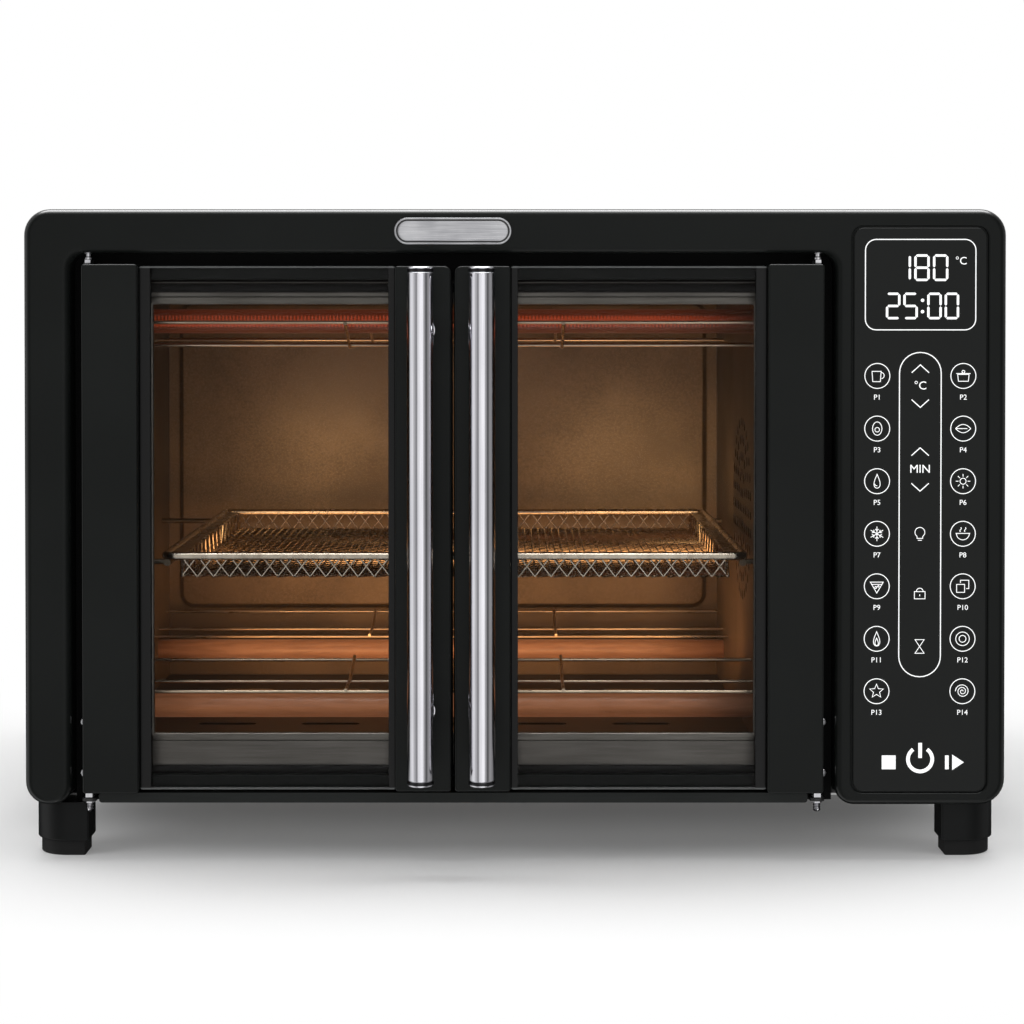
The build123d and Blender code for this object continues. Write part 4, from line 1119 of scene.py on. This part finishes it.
# Quartz heaters with wound filaments, and their wire guards
heaterWork = dict(inMetres(tubeRim=1.0, coil=2.6, coilWire=0.35, coilEnd=6.0), coilTurns=190, turnSteps=8)
guardSizes = inMetres(wire=0.8, spread=31.0, overhang=2.0, crossSpread=51.5, weld=0.5, bend=6.0)
guardLifts = dict(upper=inMetres(rows=(11.2, 0, 0)), lower=inMetres(rows=(0, 0, 6)))


def tubeAxes(place):
    # a pair of tubes: their radius, their height, and how far back each lies
    low, high = corners(place + "_heater_tubes")
    radius = (high[2] - low[2]) / 2
    return radius, low[2] + radius, (low[1] + radius, high[1] - radius)


def tubeSurface(place):
    # two round bars across the oven
    low, high = corners(place + "_heater_tubes")
    radius, height, rows = tubeAxes(place)
    ends, rim = (low[0], high[0]), heaterWork["tubeRim"]
    return joined([roundBar("yzx", (y, height), radius, ends, rim, sides=40) for y in rows])


def coilSurface():
    # wound filaments: helices about the tubes' axes, wire by its radial direction
    parts = []
    steps = heaterWork["coilTurns"] * heaterWork["turnSteps"] + 1
    turn = np.linspace(0, 2 * math.pi * heaterWork["coilTurns"], steps)
    radial = spread("xyz", 0 * turn, np.cos(turn), np.sin(turn))
    for place in ("upper", "lower"):
        low, high = corners(place + "_heater_tubes")
        radius, height, rows = tubeAxes(place)
        run = np.linspace(low[0] + heaterWork["coilEnd"], high[0] - heaterWork["coilEnd"], steps)
        for y in rows:
            path = spread("xyz", run, y, height) + radial * heaterWork["coil"]
            parts.append(wire(path, heaterWork["coilWire"], radial, sides=5))
    return joined(parts)


def guardSurface(place, crossSide):
    # long wires from wall to wall, and cross wires bent over them and welded on
    low, high = corners(place + "_heater_guard")
    radius, offset, lifts = guardSizes["wire"], guardSizes["spread"], np.array(guardLifts[place]["rows"])
    base = low[2] + radius if crossSide > 0 else high[2] - radius - max(lifts)
    rows, heights = np.array((-offset, 0, offset)), base + lifts
    crossLift = crossSide * (2 * radius - guardSizes["weld"])
    beyond = guardSizes["overhang"] / offset
    parts = []
    for tubeY in tubeAxes("lower")[2]:
        ends = [spread("xyz", x, tubeY + rows, heights) for x in (low[0], high[0])]
        parts.append(rods(*ends, radius, (0, 0, 1), sides=12))
        line = np.stack([tubeY + rows, heights + crossLift], axis=-1)
        line[0] -= (line[1] - line[0]) * beyond
        line[2] += (line[2] - line[1]) * beyond
        bent = roundedLine(line, (0, guardSizes["bend"], 0), closed=False)[0]
        for x in doorCentre + np.array((-1, 1)) * guardSizes["crossSpread"]:
            parts.append(wire(spread("xyz", x, bent[:, 0], bent[:, 1]), radius, (1, 0, 0), sides=12))
    return joined(parts)


for place in ("upper", "lower"):
    dress(place + "_heater_tubes", tubeSurface(place))
dress("heater_filaments", coilSurface())
for place, crossSide in (("upper", -1), ("lower", 1)):
    dress(place + "_heater_guard", guardSurface(place, crossSide))
print("heaters made")

# Basket: a bent rim and diamond wire mesh
basketLook = inMetres(
    rimWire=1.9, corner=5.0, meshWire=0.42, sideWire=0.4, pitch=7.7, flange=0.5, flangeCorner=1.5, flangeEdge=0.3,
)


def rimSurface():
    # a wire carried round a rounded rectangle
    low, high = corners("basket_rim")
    radius = basketLook["rimWire"]
    line = rectangle(low[:2] + radius, high[:2] - radius, basketLook["corner"], steps=10)[0]
    path = spread("xyz", line[:, 0], line[:, 1], low[2] + radius)
    return wire(path, radius, (0, 0, 1), sides=14, closed=True)


def floorMesh():
    # both families of slanting lines in a rectangle, x + y and x - y constant, cut at its edges, one over the other
    low, high = corners("basket_floor")
    radius, pitch, depth = basketLook["meshWire"], basketLook["pitch"], (low[2] + high[2]) / 2
    size = (high - low)[:2]
    sums = np.arange(pitch / 2, size.sum(), pitch)
    starts = np.clip(sums - size[1], 0, None), np.clip(sums, None, size[1])
    ends = np.clip(sums, None, size[0]), np.clip(sums - size[0], 0, None)
    families = []
    for start, flip, height in ((low[1], 1, depth + radius), (high[1], -1, depth - radius)):
        lines = [spread("xyz", low[0] + x, start + flip * y, height) for x, y in (starts, ends)]
        families.append(rods(*lines, radius, (0, 0, 1)))
    return joined(families)


def sideMesh(axes, low, high, depth, binormal):
    # two wires go up and down between two heights a whole number of times, one in front of the other,
    # and the second is up where the first is down, so that they cross
    radius = basketLook["sideWire"]
    count = 2 * round((high[0] - low[0]) / (2 * basketLook["pitch"]))
    run = np.linspace(low[0], high[0], count + 1)
    wires = []
    for start, aside in ((0, radius), (1, -radius)):
        rise = np.where((np.arange(count + 1) + start) % 2, high[1], low[1])
        line = spread(axes, run, rise, depth + aside)
        wires.append(rods(line[:-1], line[1:], radius, binormal))
    return joined(wires)


def basketSides():
    # mesh on the four sides, and a flat flange from the mesh to the rim on the left and right
    low, high = corners("basket_sides")
    floorLow, floorHigh = corners("basket_floor")
    rimLow, rimHigh = corners("basket_rim")
    size, radius, inset, flange = basketLook, basketLook["rimWire"], basketLook["corner"], basketLook["flange"]
    bottom, top = floorHigh[2] - radius / 2, rimLow[2] + radius
    parts = []
    for y in (low[1] + radius / 2, high[1] - radius / 2):
        parts.append(sideMesh("xzy", (floorLow[0], bottom), (floorHigh[0], top), y, (0, 1, 0)))
    for x in (floorLow[0], floorHigh[0]):
        parts.append(sideMesh("yzx", (floorLow[1], bottom), (floorHigh[1], top), x, (1, 0, 0)))
    for inner, outer in ((floorLow[0], rimLow[0] + radius), (floorHigh[0], rimHigh[0] - radius)):
        left, right = min(inner, outer), max(inner, outer)
        outline = rectangle((left, rimLow[1] + inset), (right, rimHigh[1] - inset), size["flangeCorner"])
        parts.append(slab("xyz", outline, top + flange, top - flange, size["flangeEdge"], size["flangeEdge"]))
    return joined(parts)


dress("basket_rim", rimSurface(), "basket")
dress("basket_floor", floorMesh(), "basket")
dress("basket_sides", basketSides(), "basket")
print("basket made")

# Feet with a wide curve at the body's corner, on smaller soles
footLook = inMetres(width=26.2, depth=20.0, curve=16.0, corner=2.0, inner=1.2, topEdge=0.3, edge=0.9, soleInset=1.6)


def feetSurface(node, shrink=0.0):
    # one foot at each end of the node's box, in front and behind where the box reaches both
    low, high = corners(node)
    size = footLook
    width, depth = size["width"] - 2 * shrink, size["depth"] - 2 * shrink
    curve, corner, inner = size["curve"] - shrink, size["corner"], size["inner"]
    middle = (cadBox[0][1] + cadBox[1][1]) / 2
    parts = []
    for y in sorted({round(low[1], 6), round(high[1] - depth, 6)}):
        front, back = (curve, corner) if y < middle else (corner, curve)
        for x, turns in ((low[0], (front, inner, inner, back)), (high[0] - width, (inner, front, back, inner))):
            plan = rectangle((x, y), (x + width, y + depth), turns, steps=12)
            parts.append(slab("xyz", plan, high[2], low[2], size["topEdge"], size["edge"]))
    return joined(parts)


dress("front_feet", feetSurface("front_feet"))
dress("rear_feet", feetSurface("rear_feet"))
dress("foot_soles", feetSurface("foot_soles", footLook["soleInset"]))
print("feet made")

# Floor, studio light and camera, in metres; the floor carries a painted shadow under the oven and is white further
# off
floorLook = dict(
    size=80.0, colour=0.9, deep=0.55, rough=0.8, lift=0.04, stretch=0.75, fade=(0.13, 0.46),
    front=(-0.11, -0.04), back=(0.16, 0.26), aside=(0.19, 0.27),
)
studio = dict(
    ambient=0.45, glossAbove=7.0, above=(0.75, 0.95), behind=(110, 130), below=(0.0, 0.04),
    # bearings between which the light that gloss sees changes, and by how much
    panels=(
        (-135, -118, -0.55), (-108, -82, 0.5), (-70, -50, -0.4), (-47, -36, -0.25), (-30, -16, 0.7), (-8, 4, 0.2),
        (22, 33, -0.75), (38, 50, -0.33), (56, 74, 0.22), (84, 104, -0.1), (118, 135, 0.76),
    ),
)
white, ovenGlow, heatGlow = (1, 1, 1), (1.0, 0.62, 0.29), (1.0, 0.5, 0.2)
# name, place, target, size, power, colour, and whether gloss shows it
lamps = (
    ("topPanel", (0, 0.05, 1.25), (0, 0, 0.1), (1.5, 0.5), 14.0, white, True),
    ("leftPanel", (-1.3, -0.9, 0.7), (0, 0, 0.15), (0.7, 0.9), 4.0, white, False),
    ("rightPanel", (1.4, -0.8, 0.6), (0, 0, 0.15), (0.5, 0.8), 2.0, white, False),
    ("leftOvenLamp", (-0.115, 0.03, 0.165), (-0.115, 0.15, 0.145), (0.08, 0.03), 0.0435, ovenGlow, True),
    ("rightOvenLamp", (0.07, 0.03, 0.165), (0.07, 0.15, 0.145), (0.08, 0.03), 0.058, ovenGlow, True),
    ("heatBelow", (-0.035, 0.02, 0.046), (-0.035, 0.13, 0.24), (0.26, 0.14), 0.6, heatGlow, True),
)
cameraView = dict(place=(-0.0014, -1.2535, 0.2545), pitch=1.0, lens=84.05, sensor=36, shift=-0.1577)


def floorVary(here):
    # pale, with a painted shadow: darker in a soft rectangle under the oven
    shadowArea = here.axis("Y").ramp(*floorLook["front"]) * (1 - here.axis("Y").ramp(*floorLook["back"]))
    shadowArea = shadowArea * (1 - abs(here.axis("X")).ramp(*floorLook["aside"]))
    pale, deep = floorLook["colour"], floorLook["colour"] * floorLook["deep"]
    return {"Base Color": shadowArea.blend((pale, pale, pale, 1), (deep, deep, deep, 1))}


def makeFloor():
    # one large square; its shade mixes to plain white with the distance from the oven
    size = floorLook["size"] / 2
    mesh = bpy.data.meshes.new("floor")
    mesh.from_pydata([(-size, -size, 0), (size, -size, 0), (size, size, 0), (-size, size, 0)], [], [(0, 1, 2, 3)])
    floor = bpy.data.objects.new("floor", mesh)
    bpy.context.scene.collection.objects.link(floor)
    fixed = {"Roughness": floorLook["rough"], "Specular IOR Level": 0.0}
    makeFinish("floor", {**fixed, "Emission Color": (1, 1, 1, 1), "Emission Strength": floorLook["lift"]}, floorVary)
    tree = finishes["floor"].node_tree
    start = Shade(tree)
    here = start.node("ShaderNodeTexCoord", {}, {}, "Object")
    across, along = here.axis("X") * floorLook["stretch"], here.axis("Y")
    away = (across * across + along * along).root()
    bright = start.node("ShaderNodeEmission", {}, {"Color": (1, 1, 1, 1), "Strength": 1.0})
    lit = Shade(tree, tree.nodes["Principled BSDF"].outputs[0])
    mixed = start.node("ShaderNodeMixShader", {}, {0: away.ramp(*floorLook["fade"]), 1: lit, 2: bright})
    tree.links.new(mixed.socket, tree.nodes["Material Output"].inputs["Surface"])
    mesh.materials.append(finishes["floor"])
    floor.visible_glossy = False


def makeWorld():
    # white wherever the camera, glass or metal looks behind the oven, soft grey light on matt surfaces,
    # and for gloss in front of the oven bright and dark stretches by the bearing, as studio panels give
    world = bpy.data.worlds.new("studio")
    bpy.context.scene.world = world
    world.use_nodes = True
    tree = world.node_tree
    tree.nodes.clear()
    start = Shade(tree)

    def background(strength):
        return start.node("ShaderNodeBackground", {}, {"Color": (1, 1, 1, 1), "Strength": strength})

    def ray(kind):
        return start.node("ShaderNodeLightPath", {}, {}, kind)

    way = start.node("ShaderNodeTexCoord", {}, {}, "Generated")
    bearing = start.math("ARCTAN2", way.axis("X"), 0 - way.axis("Y")) * (180 / math.pi)
    level = start.node("ShaderNodeValue", {}, {})
    level.socket.default_value = 1.0
    for low, high, change in studio["panels"]:
        level = level + bearing.ramp(low, high) * change
    behind = abs(bearing).ramp(*studio["behind"]) * (0 - way.axis("Z")).ramp(*studio["below"])
    level = level * (1 - behind) + way.axis("Z").ramp(*studio["above"]) * studio["glossAbove"]
    sockets = {0: ray("Is Glossy Ray"), 1: background(studio["ambient"]), 2: background(level)}
    unseen = start.node("ShaderNodeMixShader", {}, sockets)
    shown = ray("Is Camera Ray").over(ray("Is Transmission Ray"))
    shade = start.node("ShaderNodeMixShader", {}, {0: shown, 1: unseen, 2: background(1.0)})
    tree.links.new(shade.socket, tree.nodes.new("ShaderNodeOutputWorld").inputs["Surface"])


def makeLight(name, place, target, size, power, colour, mirrored):
    light = bpy.data.lights.new(name, "AREA")
    light.shape = "RECTANGLE"
    light.size, light.size_y = size
    light.energy = power
    light.color = colour
    lamp = bpy.data.objects.new(name, light)
    lamp.location = place
    lamp.visible_camera = False
    lamp.visible_glossy = mirrored
    lamp.rotation_euler = (Vector(target) - Vector(place)).to_track_quat("-Z", "Y").to_euler()
    bpy.context.scene.collection.objects.link(lamp)


def makeCamera():
    camera = bpy.data.cameras.new("camera")
    camera.lens = cameraView["lens"]
    camera.sensor_width = cameraView["sensor"]
    camera.shift_y = cameraView["shift"]
    holder = bpy.data.objects.new("camera", camera)
    holder.location = cameraView["place"]
    holder.rotation_euler = (math.radians(90 - cameraView["pitch"]), 0, 0)
    bpy.context.scene.collection.objects.link(holder)
    bpy.context.scene.camera = holder


makeFloor()
makeWorld()
for lamp in lamps:
    makeLight(*lamp)
makeCamera()
bpy.context.scene.view_settings.view_transform = "Standard"
print("studio made")
